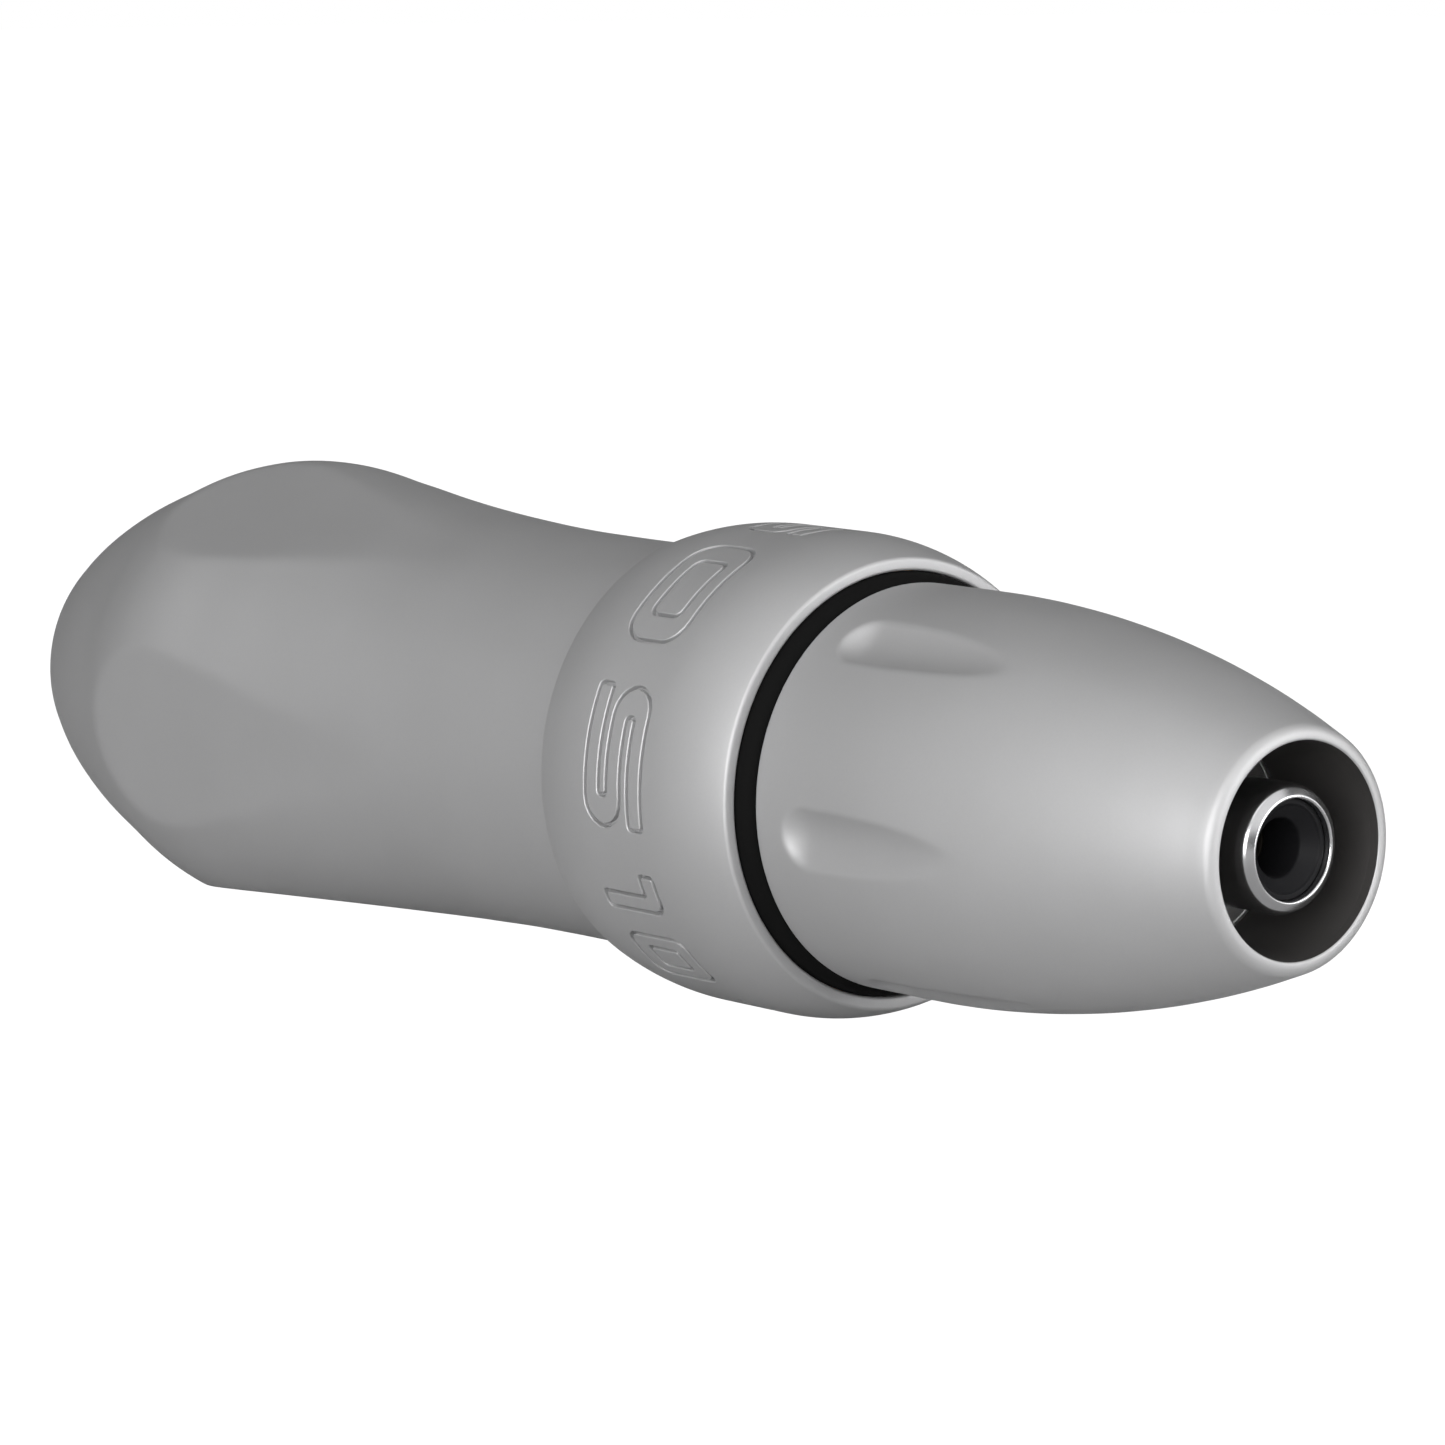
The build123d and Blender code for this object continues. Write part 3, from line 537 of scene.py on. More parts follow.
# %% [markdown]
# ## Grip
# The grip swells from a slim neck to a hip that the fingers close round, then tapers to the
# nose. Five flats run up from the nose and fade into the neck, like leaves. A flat is a plane
# that leans in a little towards the neck, with a slight hollow along it. Seen along the axis, a
# plane at distance d from the axis lies at radius d / cos(angle), so the smooth minimum of that
# and the profile is the grip. Past its end a flat runs out of the metal in a gentle curve.
# Inside, the grip is bored in steps for the cartridge seat, the needle bar and the frame tube,
# and its slim rear end is the spigot that passes through the collar.

# %% Make the grip
GRIP_COLUMNS = 360
GRIP_ROWS = 190
FLAT_COUNT = 5
FLAT_RUN_OUT = 20.0
SPIGOT_RADIUS = 12.8
FRAME_BORE = 11.45
FRAME_POCKET_FRONT = 36.0
NEEDLE_BAR_BORE = 10.5
SEAT_POCKET_REAR = 24.0
SEAT_BORE = 6.72
grip_profile = [
    (0.0, 7.6), (1.3, 9.15), (3.5, 10.55), (8.5, 12.95), (14.0, 14.9), (19.5, 16.52), (23.7, 16.96),
    (30.6, 16.27), (36.2, 15.56), (41.7, 14.99), (47.2, 14.57), (52.8, 14.27), (58.0, 14.16),
    (65.0, 14.12), (72.0, 14.12),
]


def cut_flats(given, x, radius, angle):
    """Lay the leaning planes over the profile, one in each sector."""
    sector = 2 * pi / FLAT_COUNT
    folded = (angle - given["First flat"]).math("WRAP", sector / 2, -sector / 2)
    run = x - given["Flat middle"]
    half = given["Flat half length"]
    bow = 1 - (run / half) ** 2
    depth = given["Flat depth"] - given["Flat lean"] * run - given["Flat bow"] * bow
    run_out = (x - given["Flat end"]).math("MAXIMUM", 0.0) ** 2 * FLAT_RUN_OUT
    plane = (depth + run_out) / folded.math("COSINE")
    return radius.math("SMOOTH_MIN", plane, given["Edge softness"])


grip_tree = skin_tree(
    "grip_skin",
    {
        "Rows": ("NodeSocketInt", GRIP_ROWS),
        "Columns": ("NodeSocketInt", GRIP_COLUMNS + 1),
        "First flat": ("NodeSocketFloat", radians(44.4)),
        "Flat middle": ("NodeSocketFloat", 32.0 * MM),
        "Flat half length": ("NodeSocketFloat", 20.0 * MM),
        "Flat depth": ("NodeSocketFloat", 15.34 * MM),
        "Flat lean": ("NodeSocketFloat", 0.0505),
        "Flat bow": ("NodeSocketFloat", 0.17 * MM),
        "Flat end": ("NodeSocketFloat", 48.0 * MM),
        "Edge softness": ("NodeSocketFloat", 0.32 * MM),
    },
    cut_flats,
)
skin, skin_faces = skin_points(profile_curve("grip_profile", grip_profile), grip_tree)
lap = grip_profile[-1]
grip_inside = rounded([
    (*lap, 0),
    (lap[0], SPIGOT_RADIUS, 0),
    (spigot_end, SPIGOT_RADIUS, 0),
    (spigot_end, FRAME_BORE, 0),
    (FRAME_POCKET_FRONT, FRAME_BORE, 0),
    (FRAME_POCKET_FRONT, NEEDLE_BAR_BORE, 0),
    (SEAT_POCKET_REAR, NEEDLE_BAR_BORE, 0),
    (SEAT_POCKET_REAR, SEAT_BORE, 0),
    (0.0, SEAT_BORE, 0),
    (*grip_profile[0], 0),
], closed=False)
grip = shell_piece("grip_shell", skin, skin_faces, grip_inside, GRIP_COLUMNS)
stand_in(grip, "grip_body", "grip")

# %% [markdown]
# ## Numerals
# The collar is the depth dial: eight numerals stand round it, half a millimetre of needle depth
# apart, and the tail's grooves are the pointer. A numeral is only its outline, cut with a fine
# round tool, so each is a closed loop of straight runs with rounded corners. Every corner below is
# (across, up, radius). The stem is the width of an upright stroke, and the bar of a level one.

# %% Draw the outlines
NUMERAL_HEIGHT = 5.8
BAR = 1.4
SMALL_ROUND = 0.32


def digit_outlines(digit, width, stem, big_round):
    """The closed outlines of one digit, whose lower left corner is at (0, 0)."""
    top = NUMERAL_HEIGHT
    low, high = top / 2 - BAR / 2, top / 2 + BAR / 2
    inner = width - stem
    if digit == "0":
        return [
            [
                (0, 0, big_round),
                (width, 0, big_round),
                (width, top, big_round),
                (0, top, big_round),
            ],
            [
                (stem, BAR, big_round / 3),
                (inner, BAR, big_round / 3),
                (inner, top - BAR, big_round / 3),
                (stem, top - BAR, big_round / 3),
            ],
        ]
    if digit == "1":
        left = (width - stem) / 2
        right = (width + stem) / 2
        return [[
            (left, 0, SMALL_ROUND),
            (right, 0, SMALL_ROUND),
            (right, top, big_round),
            (0, top, SMALL_ROUND),
            (0, top - BAR, SMALL_ROUND),
            (left, top - BAR, SMALL_ROUND),
        ]]
    if digit == "3":
        return [[
            (0, 0, SMALL_ROUND),
            (width, 0, big_round),
            (width, top, big_round),
            (0, top, SMALL_ROUND),
            (0, top - BAR, SMALL_ROUND),
            (inner, top - BAR, SMALL_ROUND),
            (inner, high, SMALL_ROUND),
            (stem / 2, high, SMALL_ROUND),
            (stem / 2, low, SMALL_ROUND),
            (inner, low, SMALL_ROUND),
            (inner, BAR, SMALL_ROUND),
            (0, BAR, SMALL_ROUND),
        ]]
    five = [
        (0, 0, SMALL_ROUND),
        (width, 0, big_round),
        (width, high, big_round),
        (stem, high, SMALL_ROUND),
        (stem, top - BAR, SMALL_ROUND),
        (width, top - BAR, SMALL_ROUND),
        (width, top, SMALL_ROUND),
        (0, top, big_round),
        (0, low, big_round),
        (inner, low, SMALL_ROUND),
        (inner, BAR, SMALL_ROUND),
        (0, BAR, SMALL_ROUND),
    ]
    if digit == "5":
        return [five]
    # A two is the mirror image of a five.
    return [[(width - across, up, radius) for across, up, radius in reversed(five)]]


def moved_out(corners, distance):
    """The same right-angled outline with every edge moved out by a distance."""
    points = np.array([corner[:2] for corner in corners], float)
    runs = np.roll(points, -1, axis=0) - points
    runs /= np.linalg.norm(runs, axis=1)[:, None]
    before = np.roll(runs, 1, axis=0)
    turn = before[:, 0] * runs[:, 1] - before[:, 1] * runs[:, 0]
    outward = np.column_stack((before[:, 1] + runs[:, 1], -before[:, 0] - runs[:, 0]))
    points += distance * outward
    radii = [corner[2] + distance * way for corner, way in zip(corners, turn)]
    return [(*point, radius) for point, radius in zip(points, radii)]


def evenly(points, step):
    """A closed outline with points at most a step apart."""
    dense = []
    for here, after in zip(points, np.roll(points, -1, axis=0)):
        count = max(1, int(np.ceil(np.linalg.norm(after - here) / step)))
        dense.extend(here + (after - here) * part / count for part in range(count))
    return np.array(dense)


# %% [markdown]
# ## Collar
# The collar bulges like a barrel and ends in a flat rim round the seam. Its shell is turned, except
# for a band under the numerals. That band is unrolled flat and cut into triangles that follow
# each groove's lips, walls and floor, then rolled up again, so the engraving is real relief.

# %% Shape the collar's outside
COLLAR_COLUMNS = 360
SHOULDER = 6.5
FRONT_DROP, REAR_DROP = 1.02, 1.31
SEAM_BORE = 14.30
COLLAR_BORE = 12.85
LAP_LENGTH, LAP_BORE = 1.2, 14.20
land_start, land_end = collar_front + SHOULDER, collar_rear - SHOULDER
front_curve = (SHOULDER ** 2 + FRONT_DROP ** 2) / (2 * FRONT_DROP)
rear_curve = (SHOULDER ** 2 + REAR_DROP ** 2) / (2 * REAR_DROP)


def crown(x):
    """The collar's outer radius: an arc, a plain land and another arc."""
    if x < land_start:
        return collar_radius - front_curve + sqrt(front_curve ** 2 - (land_start - x) ** 2)
    if x > land_end:
        return collar_radius - rear_curve + sqrt(rear_curve ** 2 - (x - land_end) ** 2)
    return collar_radius


print("collar radius, front to rear:", crown(collar_front), collar_radius, crown(collar_rear))

# %% [markdown]
# A groove is described by its cross-section: how far to the side of the numeral's outline each of
# its edges runs, and how deep it lies there. A loop is laid along each edge. The band is unrolled
# halfway between two numerals, so none of them is cut by its ends.

# %% Lay out the grooves of the dial
NUMERAL_COUNT = 8
DIAL_UNITS = 5
DIAL_STEP = 360 / NUMERAL_COUNT
FIRST_NUMERAL = 127.1
NUMERAL_SETBACK = 0.6
GROOVE_SECTION = (
    (-0.21, 0.0), (-0.15, 0.05), (-0.11, 0.40), (0.11, 0.40), (0.15, 0.05), (0.21, 0.0)
)
GROOVE_POINT_STEP = 0.25
# The width, stem, corner radius and spacing of the digits of a short and of a long label.
WIDE_DIGITS = (9.6, 2.1, 1.9, 0.0)
NARROW_DIGITS = (4.5, 1.25, 1.0, 0.7)
seam_turn = radians(FIRST_NUMERAL + DIAL_STEP / 2)
unrolled_start = seam_turn * collar_radius
unrolled_length = 2 * pi * collar_radius
loops = []
numeral_foot = (land_start + land_end) / 2 - NUMERAL_SETBACK - NUMERAL_HEIGHT / 2
for index in range(NUMERAL_COUNT):
    label = str(DIAL_UNITS * index)
    width, stem, big_round, gap = WIDE_DIGITS if len(label) == 1 else NARROW_DIGITS
    full_width = len(label) * width + (len(label) - 1) * gap
    middle = collar_radius * radians(FIRST_NUMERAL + index * DIAL_STEP)
    if middle < unrolled_start:
        middle += unrolled_length
    for place, digit in enumerate(label):
        shift = middle - full_width / 2 + place * (width + gap)
        for outline in digit_outlines(digit, width, stem, big_round):
            for distance, depth in GROOVE_SECTION:
                loop = evenly(rounded(moved_out(outline, distance), 5), GROOVE_POINT_STEP)
                loop += (shift, numeral_foot)
                loops.append((loop, depth))
print("groove loops:", len(loops))

# %% [markdown]
# A plain grid of points fills the rest of the band. Its points keep clear of the grooves, and a
# constrained triangulation then joins everything without crossing a groove's edge.

# %% Triangulate the band and roll it up
BAND_START, BAND_END = 76.2, 83.4
BAND_ROWS = 26
GROOVE_MARGIN = 0.2
SEARCH_REACH = 0.3
grid_u = unrolled_start + np.arange(COLLAR_COLUMNS + 1) * unrolled_length / COLLAR_COLUMNS
grid_v = np.linspace(BAND_START, BAND_END, BAND_ROWS)
grid = np.array([(u, v) for v in grid_v for u in grid_u])
engraved = np.vstack([loop for loop, depth in loops])
clear = np.ones(len(grid), bool)
for row, v in enumerate(grid_v):
    near = engraved[abs(engraved[:, 1] - v) < SEARCH_REACH]
    line = slice(row * len(grid_u), (row + 1) * len(grid_u))
    if len(near):
        spans = np.hypot(grid[line, None, 0] - near[None, :, 0], v - near[None, :, 1])
        clear[line] = spans.min(axis=1) > GROOVE_MARGIN
points_2d = [tuple(point) for point in grid[clear]]
depths = [0.0] * len(points_2d)
edges = []
for loop, depth in loops:
    first = len(points_2d)
    points_2d.extend(tuple(point) for point in loop)
    depths.extend([depth] * len(loop))
    edges.extend((first + i, first + (i + 1) % len(loop)) for i in range(len(loop)))
flat_points, _, flat_faces, sources, _, _ = delaunay_2d_cdt(
    [Vector(point) for point in points_2d], edges, [], 0, 1e-6
)
band = []
for point, source in zip(flat_points, sources):
    radius = crown(point.y) - (depths[source[0]] if source else 0.0)
    turn = point.x / collar_radius
    band.append((point.y, radius * cos(turn), radius * sin(turn)))
print("band points:", len(band), "triangles:", len(flat_faces))

# %% Turn the rest of the collar
REAR_ROWS, FRONT_ROWS = 24, 22
# Each side stops short of its end by the room that the rounded corner there needs.
REAR_CORNER_ROOM, FRONT_CORNER_ROOM = 0.6, 0.5
rear_stations = np.linspace(BAND_END, collar_rear - REAR_CORNER_ROOM, REAR_ROWS)
front_stations = np.linspace(collar_front + FRONT_CORNER_ROOM, BAND_START, FRONT_ROWS)
rear_side = [(x, crown(x), 0) for x in rear_stations]
front_side = [(x, crown(x), 0) for x in front_stations]
collar_profile = rounded([
    *rear_side,
    (collar_rear, crown(collar_rear), 0.30),
    (collar_rear, SEAM_BORE, 0.22),
    (seam_bore_start, SEAM_BORE, 0),
    (seam_bore_start, COLLAR_BORE, 0),
    (collar_front + LAP_LENGTH, COLLAR_BORE, 0),
    (collar_front + LAP_LENGTH, LAP_BORE, 0),
    (collar_front, LAP_BORE, 0.1),
    (collar_front, crown(collar_front), 0.3),
    *front_side,
], closed=False)
turned, turned_faces = spin(collar_profile, COLLAR_COLUMNS, len(band), seam_turn, closed=False)
collar = mesh_piece(
    "collar_dial",
    np.vstack((band, turned)),
    [tuple(face) for face in flat_faces] + turned_faces,
    "anodised_grey",
)
stand_in(collar, "grip_body", "collar")

# %% [markdown]
# ## Tail
# The tail is an ogive, a straight start and one long arc. Six grooves start as a ball-ended cut
# and run parallel to the axis until the narrowing tail leaves them behind, which gives each its
# pointed end. Across the pen the cutter is a circle, so its edge lies at radius
# c cos(a) - sqrt(r^2 - (c sin(a))^2), for a cutter of radius r whose axis is c from the pen's.
# Inside the well, the tail's bore is coloured near-black right up to the lip's edge, as painted
# shade of the deep well.

# %% Make the tail
TAIL_COLUMNS = 400
TAIL_ROWS = 200
TAIL_STRAIGHT = 6.0
LIP_RADIUS = 7.75
LIP_DEPTH = 0.8
GROOVE_COUNT = 6
WELL_RADIUS = 6.92
WELL_MARGIN = 0.01
LINER_POCKET = 7.37
PLATE_POCKET = 8.3
PLATE_RING_LENGTH = 1.5
TAIL_CONE_SETBACK = 10.0
SEAM_CORNER_ROOM, LIP_CORNER_ROOM = 0.3, 0.9
tail_curve_start = tail_front + TAIL_STRAIGHT
tail_drop = tail_radius - LIP_RADIUS
tail_curve = ((rear_lip - tail_curve_start) ** 2 + tail_drop ** 2) / (2 * tail_drop)


def ogive(x):
    """The tail's outer radius before the grooves are cut."""
    run = max(x - tail_curve_start, 0)
    return tail_radius - tail_curve + sqrt(tail_curve ** 2 - run ** 2)


def cut_grooves(given, x, radius, angle):
    """Lay the round-ended grooves over the profile, one in each sector."""
    sector = 2 * pi / GROOVE_COUNT
    folded = (angle - given["First groove"]).math("WRAP", sector / 2, -sector / 2)
    centre = given["Cutter distance"]
    ahead = (given["Groove start"] - x).math("MAXIMUM", 0.0)
    reach = given["Cutter radius"] ** 2 - ahead ** 2
    across = centre * folded.math("SINE")
    depth = (reach - across * across).math("MAXIMUM", 0.0) ** 0.5
    groove = centre * folded.math("COSINE") - depth
    return radius.math("SMOOTH_MIN", groove, given["Edge softness"])


tail_tree = skin_tree(
    "tail_skin",
    {
        "Rows": ("NodeSocketInt", TAIL_ROWS),
        "Columns": ("NodeSocketInt", TAIL_COLUMNS + 1),
        "First groove": ("NodeSocketFloat", radians(7.1)),
        "Cutter distance": ("NodeSocketFloat", 16.2 * MM),
        "Cutter radius": ("NodeSocketFloat", 3.4 * MM),
        "Groove start": ("NodeSocketFloat", 96.0 * MM),
        "Edge softness": ("NodeSocketFloat", 0.22 * MM),
    },
    cut_grooves,
)
skin_start, skin_end = tail_front + SEAM_CORNER_ROOM, rear_lip - LIP_CORNER_ROOM
tail_stations = [skin_start, 94.0, 97.1, 100.0, 104.0, 109.0, 114.0, 119.0, 123.5, skin_end]
tail_profile = [(x, ogive(x)) for x in tail_stations]
skin, skin_faces = skin_points(profile_curve("tail_profile", tail_profile), tail_tree)
tail_inside = rounded([
    (skin_end, ogive(skin_end), 0),
    (rear_lip, ogive(rear_lip), 0.85),
    (rear_lip, WELL_RADIUS, 0.15),
    (rear_lip - LIP_DEPTH, WELL_RADIUS, 0),
    (rear_lip - LIP_DEPTH, LINER_POCKET, 0),
    (well_floor, LINER_POCKET, 0),
    (well_floor, PLATE_POCKET, 0),
    (plate_front - PLATE_RING_LENGTH, PLATE_POCKET, 0),
    (plate_front - TAIL_CONE_SETBACK, FRAME_BORE, 0),
    (tail_front, FRAME_BORE, 0),
    (tail_front, tail_radius, 0.25),
    (skin_start, tail_radius, 0),
], steps=8, closed=False)
tail = shell_piece("tail_body", skin, skin_faces, tail_inside, TAIL_COLUMNS)
stand_in(tail, "rear_body", "tail_shell")
# Painted shade: the tail's bore inside the well takes the near-black liner finish, up to the lip's
# inner edge.
tail.data.materials.append(materials["liner_black"])
painted_shade_radius = (WELL_RADIUS + WELL_MARGIN) * MM
for face in tail.data.polygons:
    inside_well = hypot(face.center.y, face.center.z) < painted_shade_radius
    if inside_well and face.center.x > well_floor * MM:
        face.material_index = 1

# %% [markdown]
# ## Seam ring
# A black O-ring fills the seam between collar and tail. It stays with the collar's key, so it
# slides back with the tail but doesn't turn.

# %% Make the seam ring
RING_COLUMNS = 320
RING_SECTION_STEPS = 48
ring_section = (ring_rear - ring_front) / 2
ring_middle = (ring_front + ring_rear) / 2
ring_pitch = box_mm("seam_o_ring")[1].z - ring_section
section_turns = np.linspace(0, 2 * pi, RING_SECTION_STEPS, endpoint=False)
seam_profile = [
    (ring_middle + ring_section * cos(turn), ring_pitch + ring_section * sin(turn), 0)
    for turn in section_turns
]
turned_piece(
    "seam_ring", "key_ring_body", "seam_o_ring", seam_profile, "black_rubber", RING_COLUMNS
)

# %% [markdown]
# ## Power jack
# The jack stands in a dark well. A chrome barrel with a well-rounded nose surrounds a black
# insulator, whose face falls from a flat ring down a shallow funnel to the hole for the plug's pin.

# %% Make the well
LINER_RADIUS = 7.35
LINER_BORE = 6.94
PLATE_HOLE = 3.02
PLATE_RECESS = 0.05
PLATE_RADIUS = 8.25
# The well's wall is a near-black lining, a dark sheet that stands in for the shade deep in the
# well.
turned_piece(
    "well_wall",
    "rear_body",
    "well_liner",
    [
        (well_floor, LINER_RADIUS, 0),
        (rear_lip - LIP_DEPTH, LINER_RADIUS, 0),
        (rear_lip - LIP_DEPTH, LINER_BORE, 0.05),
        (well_floor, LINER_BORE, 0),
    ],
    finish_of["well_liner"],
)
turned_piece(
    "well_floor",
    "rear_body",
    "jack_plate",
    [
        (plate_front, PLATE_HOLE, 0),
        (well_floor - PLATE_RECESS, PLATE_HOLE, 0),
        (well_floor - PLATE_RECESS, 6.68, 0.02),
        (well_floor, 6.74, 0.02),
        (well_floor, 7.9, 0),
        (well_floor - 0.3, PLATE_RADIUS, 0),
        (plate_front, PLATE_RADIUS, 0),
    ],
    finish_of["jack_plate"],
)

# %% Make the jack
THREAD_LENGTH = 7.5
THREAD_RADIUS, THREAD_BORE = 3.0, 2.25
FLANGE_THICKNESS = 1.0
FLANGE_RADIUS = 4.9
BARREL_BORE = 3.23
thread_end = well_floor - THREAD_LENGTH
flange_rear = well_floor + FLANGE_THICKNESS
turned_piece(
    "jack_sleeve",
    "rear_body",
    "jack_barrel",
    [
        (thread_end, THREAD_BORE, 0),
        (flange_rear, THREAD_BORE, 0),
        (flange_rear, BARREL_BORE, 0),
        (jack_nose, BARREL_BORE, 0.12),
        (jack_nose, 3.42, 0.25),
        (jack_nose - 0.35, 3.98, 0.5),
        (jack_nose - 1.00, jack_radius, 0.7),
        (flange_rear, jack_radius, 0.1),
        (flange_rear, FLANGE_RADIUS, 0.15),
        (well_floor, FLANGE_RADIUS, 0),
        (well_floor, THREAD_RADIUS, 0),
        (thread_end, THREAD_RADIUS, 0),
    ],
    "jack_chrome",
    steps=10,
)
INSULATOR_RECESS = 0.5
INSULATOR_HOLE = 1.87
INSULATOR_RADIUS, INSULATOR_STEM = 3.20, 2.22
FUNNEL_DEPTH = 0.85
insulator_face = jack_nose - INSULATOR_RECESS
turned_piece(
    "jack_core",
    "rear_body",
    "jack_insulator",
    [
        (thread_end, INSULATOR_HOLE, 0),
        (insulator_face - FUNNEL_DEPTH, INSULATOR_HOLE, 0.3),
        (insulator_face - 0.12, 2.78, 0.2),
        (insulator_face, 2.84, 0.05),
        (insulator_face, INSULATOR_RADIUS, 0.10),
        (flange_rear, INSULATOR_RADIUS, 0),
        (flange_rear, INSULATOR_STEM, 0),
        (thread_end, INSULATOR_STEM, 0),
    ],
    "black_plastic",
    steps=5,
)

# %% [markdown]
# The contact is a split sleeve. One finger is made, and Geometry Nodes sets four of them round
# the axis with a slit between each two.

# %% Repeat a mesh round the axis
def round_copies(name, piece, count, finish):
    """Repeat a mesh round the X axis with Geometry Nodes, and keep the result as its mesh."""
    tree = bpy.data.node_groups.new(name, "GeometryNodeTree")
    interface = tree.interface
    interface.new_socket("Geometry", in_out="INPUT", socket_type="NodeSocketGeometry")
    count_socket = interface.new_socket("Count", in_out="INPUT", socket_type="NodeSocketInt")
    interface.new_socket("Geometry", in_out="OUTPUT", socket_type="NodeSocketGeometry")
    graph = Graph(tree)
    entry = tree.nodes.new("NodeGroupInput")
    shape = Value(graph, entry.outputs["Geometry"])
    copies = Value(graph, entry.outputs["Count"])
    points = graph.node("GeometryNodePoints", None, {"Count": copies})
    index = graph.node("GeometryNodeInputIndex")
    turn = graph.node("ShaderNodeCombineXYZ", None, {0: index * (2 * pi) / copies})
    placed = graph.node(
        "GeometryNodeInstanceOnPoints",
        None,
        {"Points": points, "Instance": shape, "Rotation": turn},
    )
    real = graph.node("GeometryNodeRealizeInstances", None, {"Geometry": placed})
    painted = graph.node(
        "GeometryNodeSetMaterial",
        None,
        {"Geometry": real, "Material": materials[finish]},
    )
    leave = tree.nodes.new("NodeGroupOutput")
    tree.links.new(painted.socket, leave.inputs["Geometry"])
    modifier = piece.modifiers.new(name, "NODES")
    modifier.node_group = tree
    modifier[count_socket.identifier] = count
    depsgraph = bpy.context.evaluated_depsgraph_get()
    mesh = bpy.data.meshes.new_from_object(piece.evaluated_get(depsgraph))
    piece.modifiers.clear()
    piece.data = mesh


# %% Make the contact
FINGER_COUNT = 4
FINGER_HALF_ANGLE = 40
FINGER_STEPS = 20
CONTACT_TAIL = 3.0
CONTACT_FLOOR = 1.0
CONTACT_BORE = 1.6
contact_end = box_mm("jack_contact")[0].x + CONTACT_TAIL
contact_rear = box_mm("jack_contact")[1].x
finger_turns = np.radians(np.linspace(-FINGER_HALF_ANGLE, FINGER_HALF_ANGLE, FINGER_STEPS + 1))
finger_section = rounded([
    (contact_end, 0.4, 0),
    (contact_end + CONTACT_FLOOR, 0.4, 0),
    (contact_end + CONTACT_FLOOR, CONTACT_BORE, 0),
    (contact_rear - 1.2, CONTACT_BORE, 0),
    (contact_rear - 0.3, 1.45, 0.2),
    (contact_rear, CONTACT_BORE, 0.05),
    (contact_rear, 1.78, 0.05),
    (contact_end, 1.80, 0),
])
finger_points = [
    (x, radius * cos(turn), radius * sin(turn))
    for turn in finger_turns
    for x, radius in finger_section
]
around = len(finger_section)
last = FINGER_STEPS * around
finger_faces = [tuple(range(around)), tuple(last + i for i in reversed(range(around)))]
for step in range(FINGER_STEPS):
    for i in range(around):
        beside = (i + 1) % around
        finger_faces.append((
            step * around + i,
            step * around + beside,
            (step + 1) * around + beside,
            (step + 1) * around + i,
        ))
contact = mesh_piece("contact_sleeve", finger_points, finger_faces, finish_of["jack_contact"])
round_copies("contact_fingers", contact, FINGER_COUNT, finish_of["jack_contact"])
stand_in(contact, "rear_body", "jack_contact")

# %% [markdown]
# ## Floor and light
# The pen lies on a plain pale floor in soft studio light. The floor shows the camera an even
# white, and sends a little grey light up to the underside. Two large soft boxes high on either
# side of the camera give the broad highlights, weaker ones lift the far side, the nose and the
# underside, and a small lamp brings out the lip round the well.

# %% Floor
def seen_by_camera(tree):
    """1 for what the camera sees directly, 0 for what only lights the pen."""
    return Value(Graph(tree), tree.nodes.new("ShaderNodeLightPath").outputs["Is Camera Ray"])


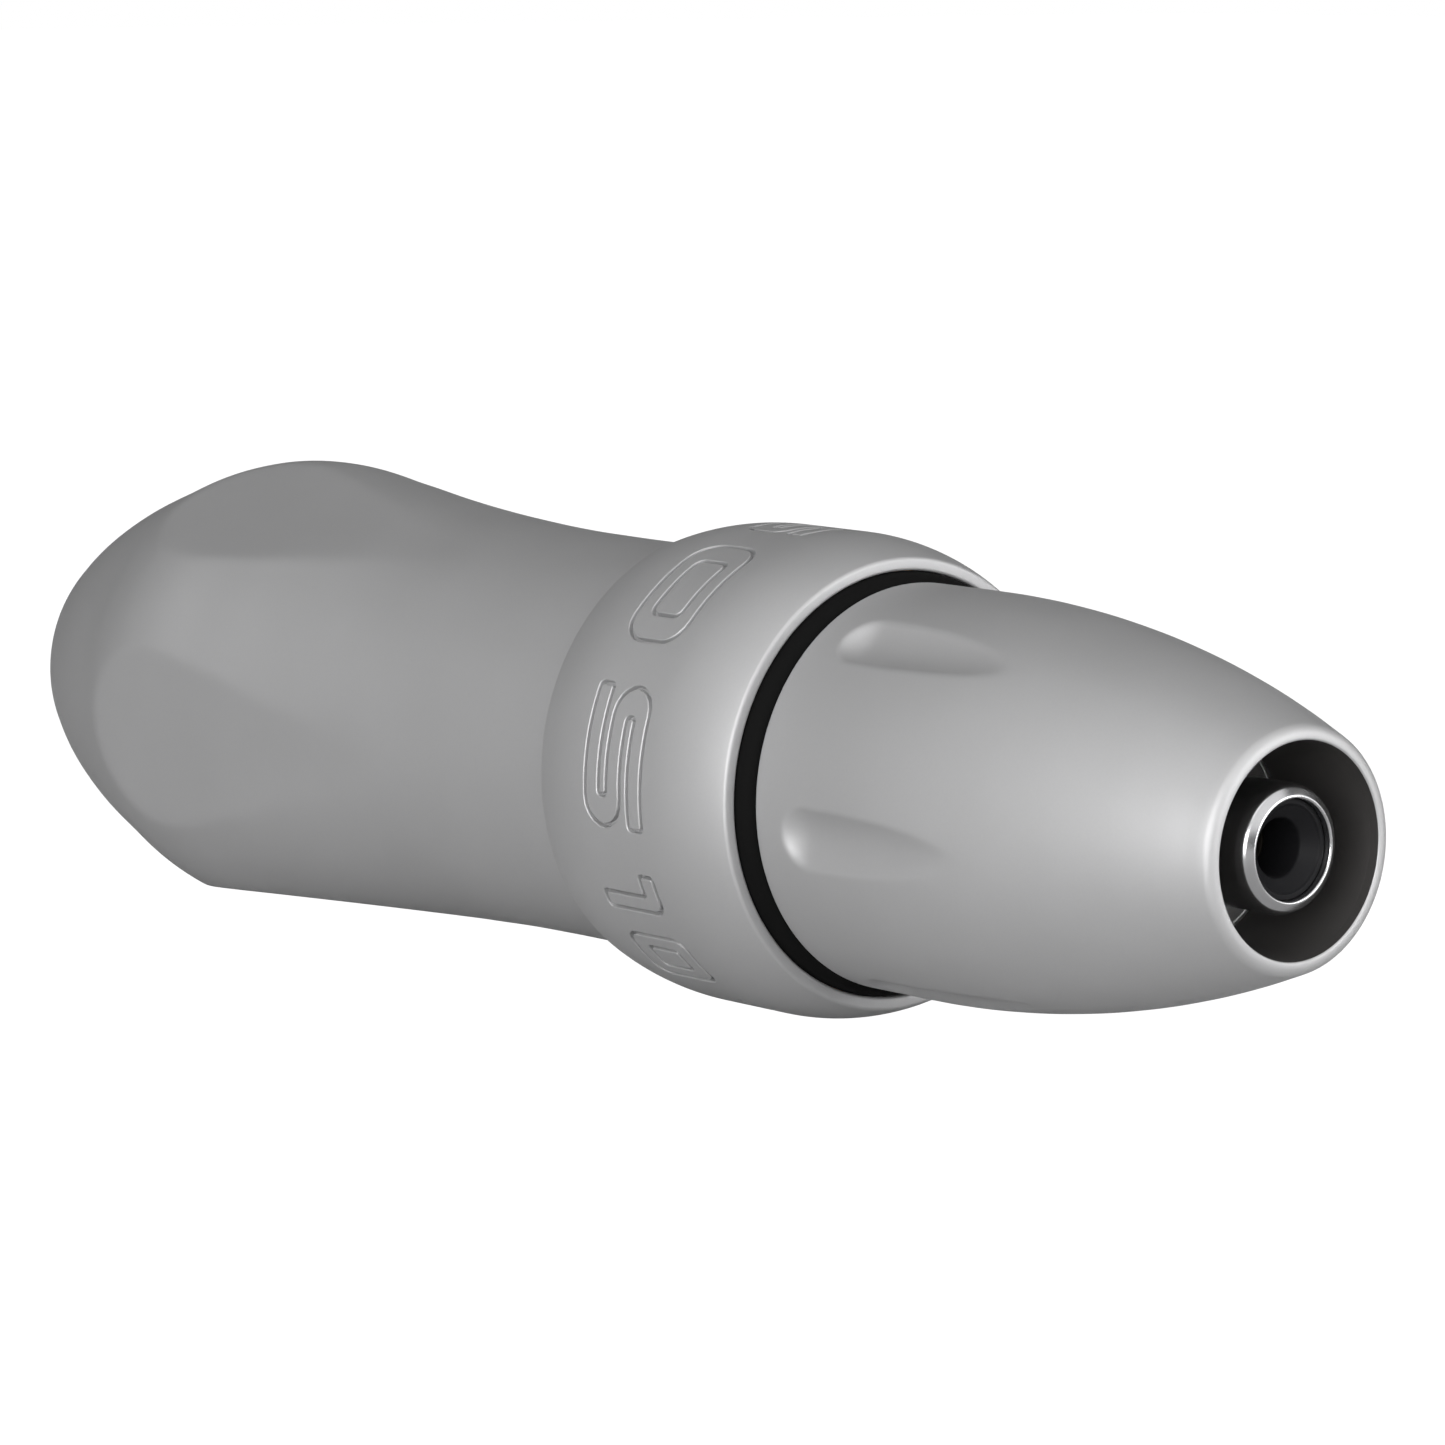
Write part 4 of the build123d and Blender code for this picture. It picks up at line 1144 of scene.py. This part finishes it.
GLOW_SHARE = 0.92
FLOOR_REACH = 3.0
floor_material = bpy.data.materials.new("floor_paper")
floor_material.use_nodes = True
paper_tree = floor_material.node_tree
paper = paper_tree.nodes["Principled BSDF"]
paper.inputs["Base Color"].default_value = (0.47, 0.47, 0.47, 1)
paper.inputs["Roughness"].default_value = 0.9
glow = paper_tree.nodes.new("ShaderNodeEmission")
glow.inputs["Strength"].default_value = 1.14
mixer = paper_tree.nodes.new("ShaderNodeMixShader")
paper_tree.links.new((seen_by_camera(paper_tree) * GLOW_SHARE).socket, mixer.inputs[0])
paper_tree.links.new(paper.outputs[0], mixer.inputs[1])
paper_tree.links.new(glow.outputs[0], mixer.inputs[2])
paper_tree.links.new(mixer.outputs[0], paper_tree.nodes["Material Output"].inputs["Surface"])
floor_corners = [
    (x * FLOOR_REACH, y * FLOOR_REACH, floor_z * MM)
    for x, y in ((-1, -1), (1, -1), (1, 1), (-1, 1))
]
floor_mesh = bpy.data.meshes.new("floor")
floor_mesh.from_pydata(floor_corners, [], [(0, 1, 2, 3)])
floor_mesh.materials.append(floor_material)
floor = bpy.data.objects.new("floor", floor_mesh)
scene.collection.objects.link(floor)
print("floor at", floor_z, "mm")

# %% Room light
world = bpy.data.worlds.new("studio")
scene.world = world
world.use_nodes = True
room = world.node_tree.nodes["Background"]
room.inputs["Color"].default_value = (1, 1, 1, 1)
ROOM_LIGHT = 0.03
room_level = ROOM_LIGHT + seen_by_camera(world.node_tree) * (1 - ROOM_LIGHT)
world.node_tree.links.new(room_level.socket, room.inputs["Strength"])

# %% Soft boxes
PEN_MIDDLE = (0.075, 0.0, 0.0)
JACK_END = (0.115, 0.0, 0.0)


def soft_light(name, azimuth, elevation, distance, size, power, aim=PEN_MIDDLE):
    """A square soft box that looks at the pen from an azimuth and elevation in degrees.

    Its distance and size are in metres, and its power is in watts.
    """
    turn, lift = radians(azimuth), radians(elevation)
    away = Vector((sin(turn) * cos(lift), -cos(turn) * cos(lift), sin(lift)))
    light = bpy.data.lights.new(name, "AREA")
    light.size = size
    light.energy = power
    holder = bpy.data.objects.new(name, light)
    holder.location = Vector(aim) + away * distance
    holder.rotation_mode = "QUATERNION"
    holder.rotation_quaternion = (-away).to_track_quat("-Z", "Y")
    scene.collection.objects.link(holder)
    print(name, power, "W")


soft_light("top_left_box", 5, 55, 1.2, 1.6, 4.6)
soft_light("top_right_box", 90, 48, 1.2, 1.6, 7.3)
soft_light("back_box", 135, 8, 1.2, 0.9, 3.0)
soft_light("nose_box", -45, 8, 1.2, 0.9, 0.7)
soft_light("low_box", 30, -1, 0.60, 0.55, 6.9, JACK_END)
soft_light("tail_lamp", 115, 4, 0.40, 0.26, 0.95, JACK_END)
scene.view_settings.view_transform = "Standard"
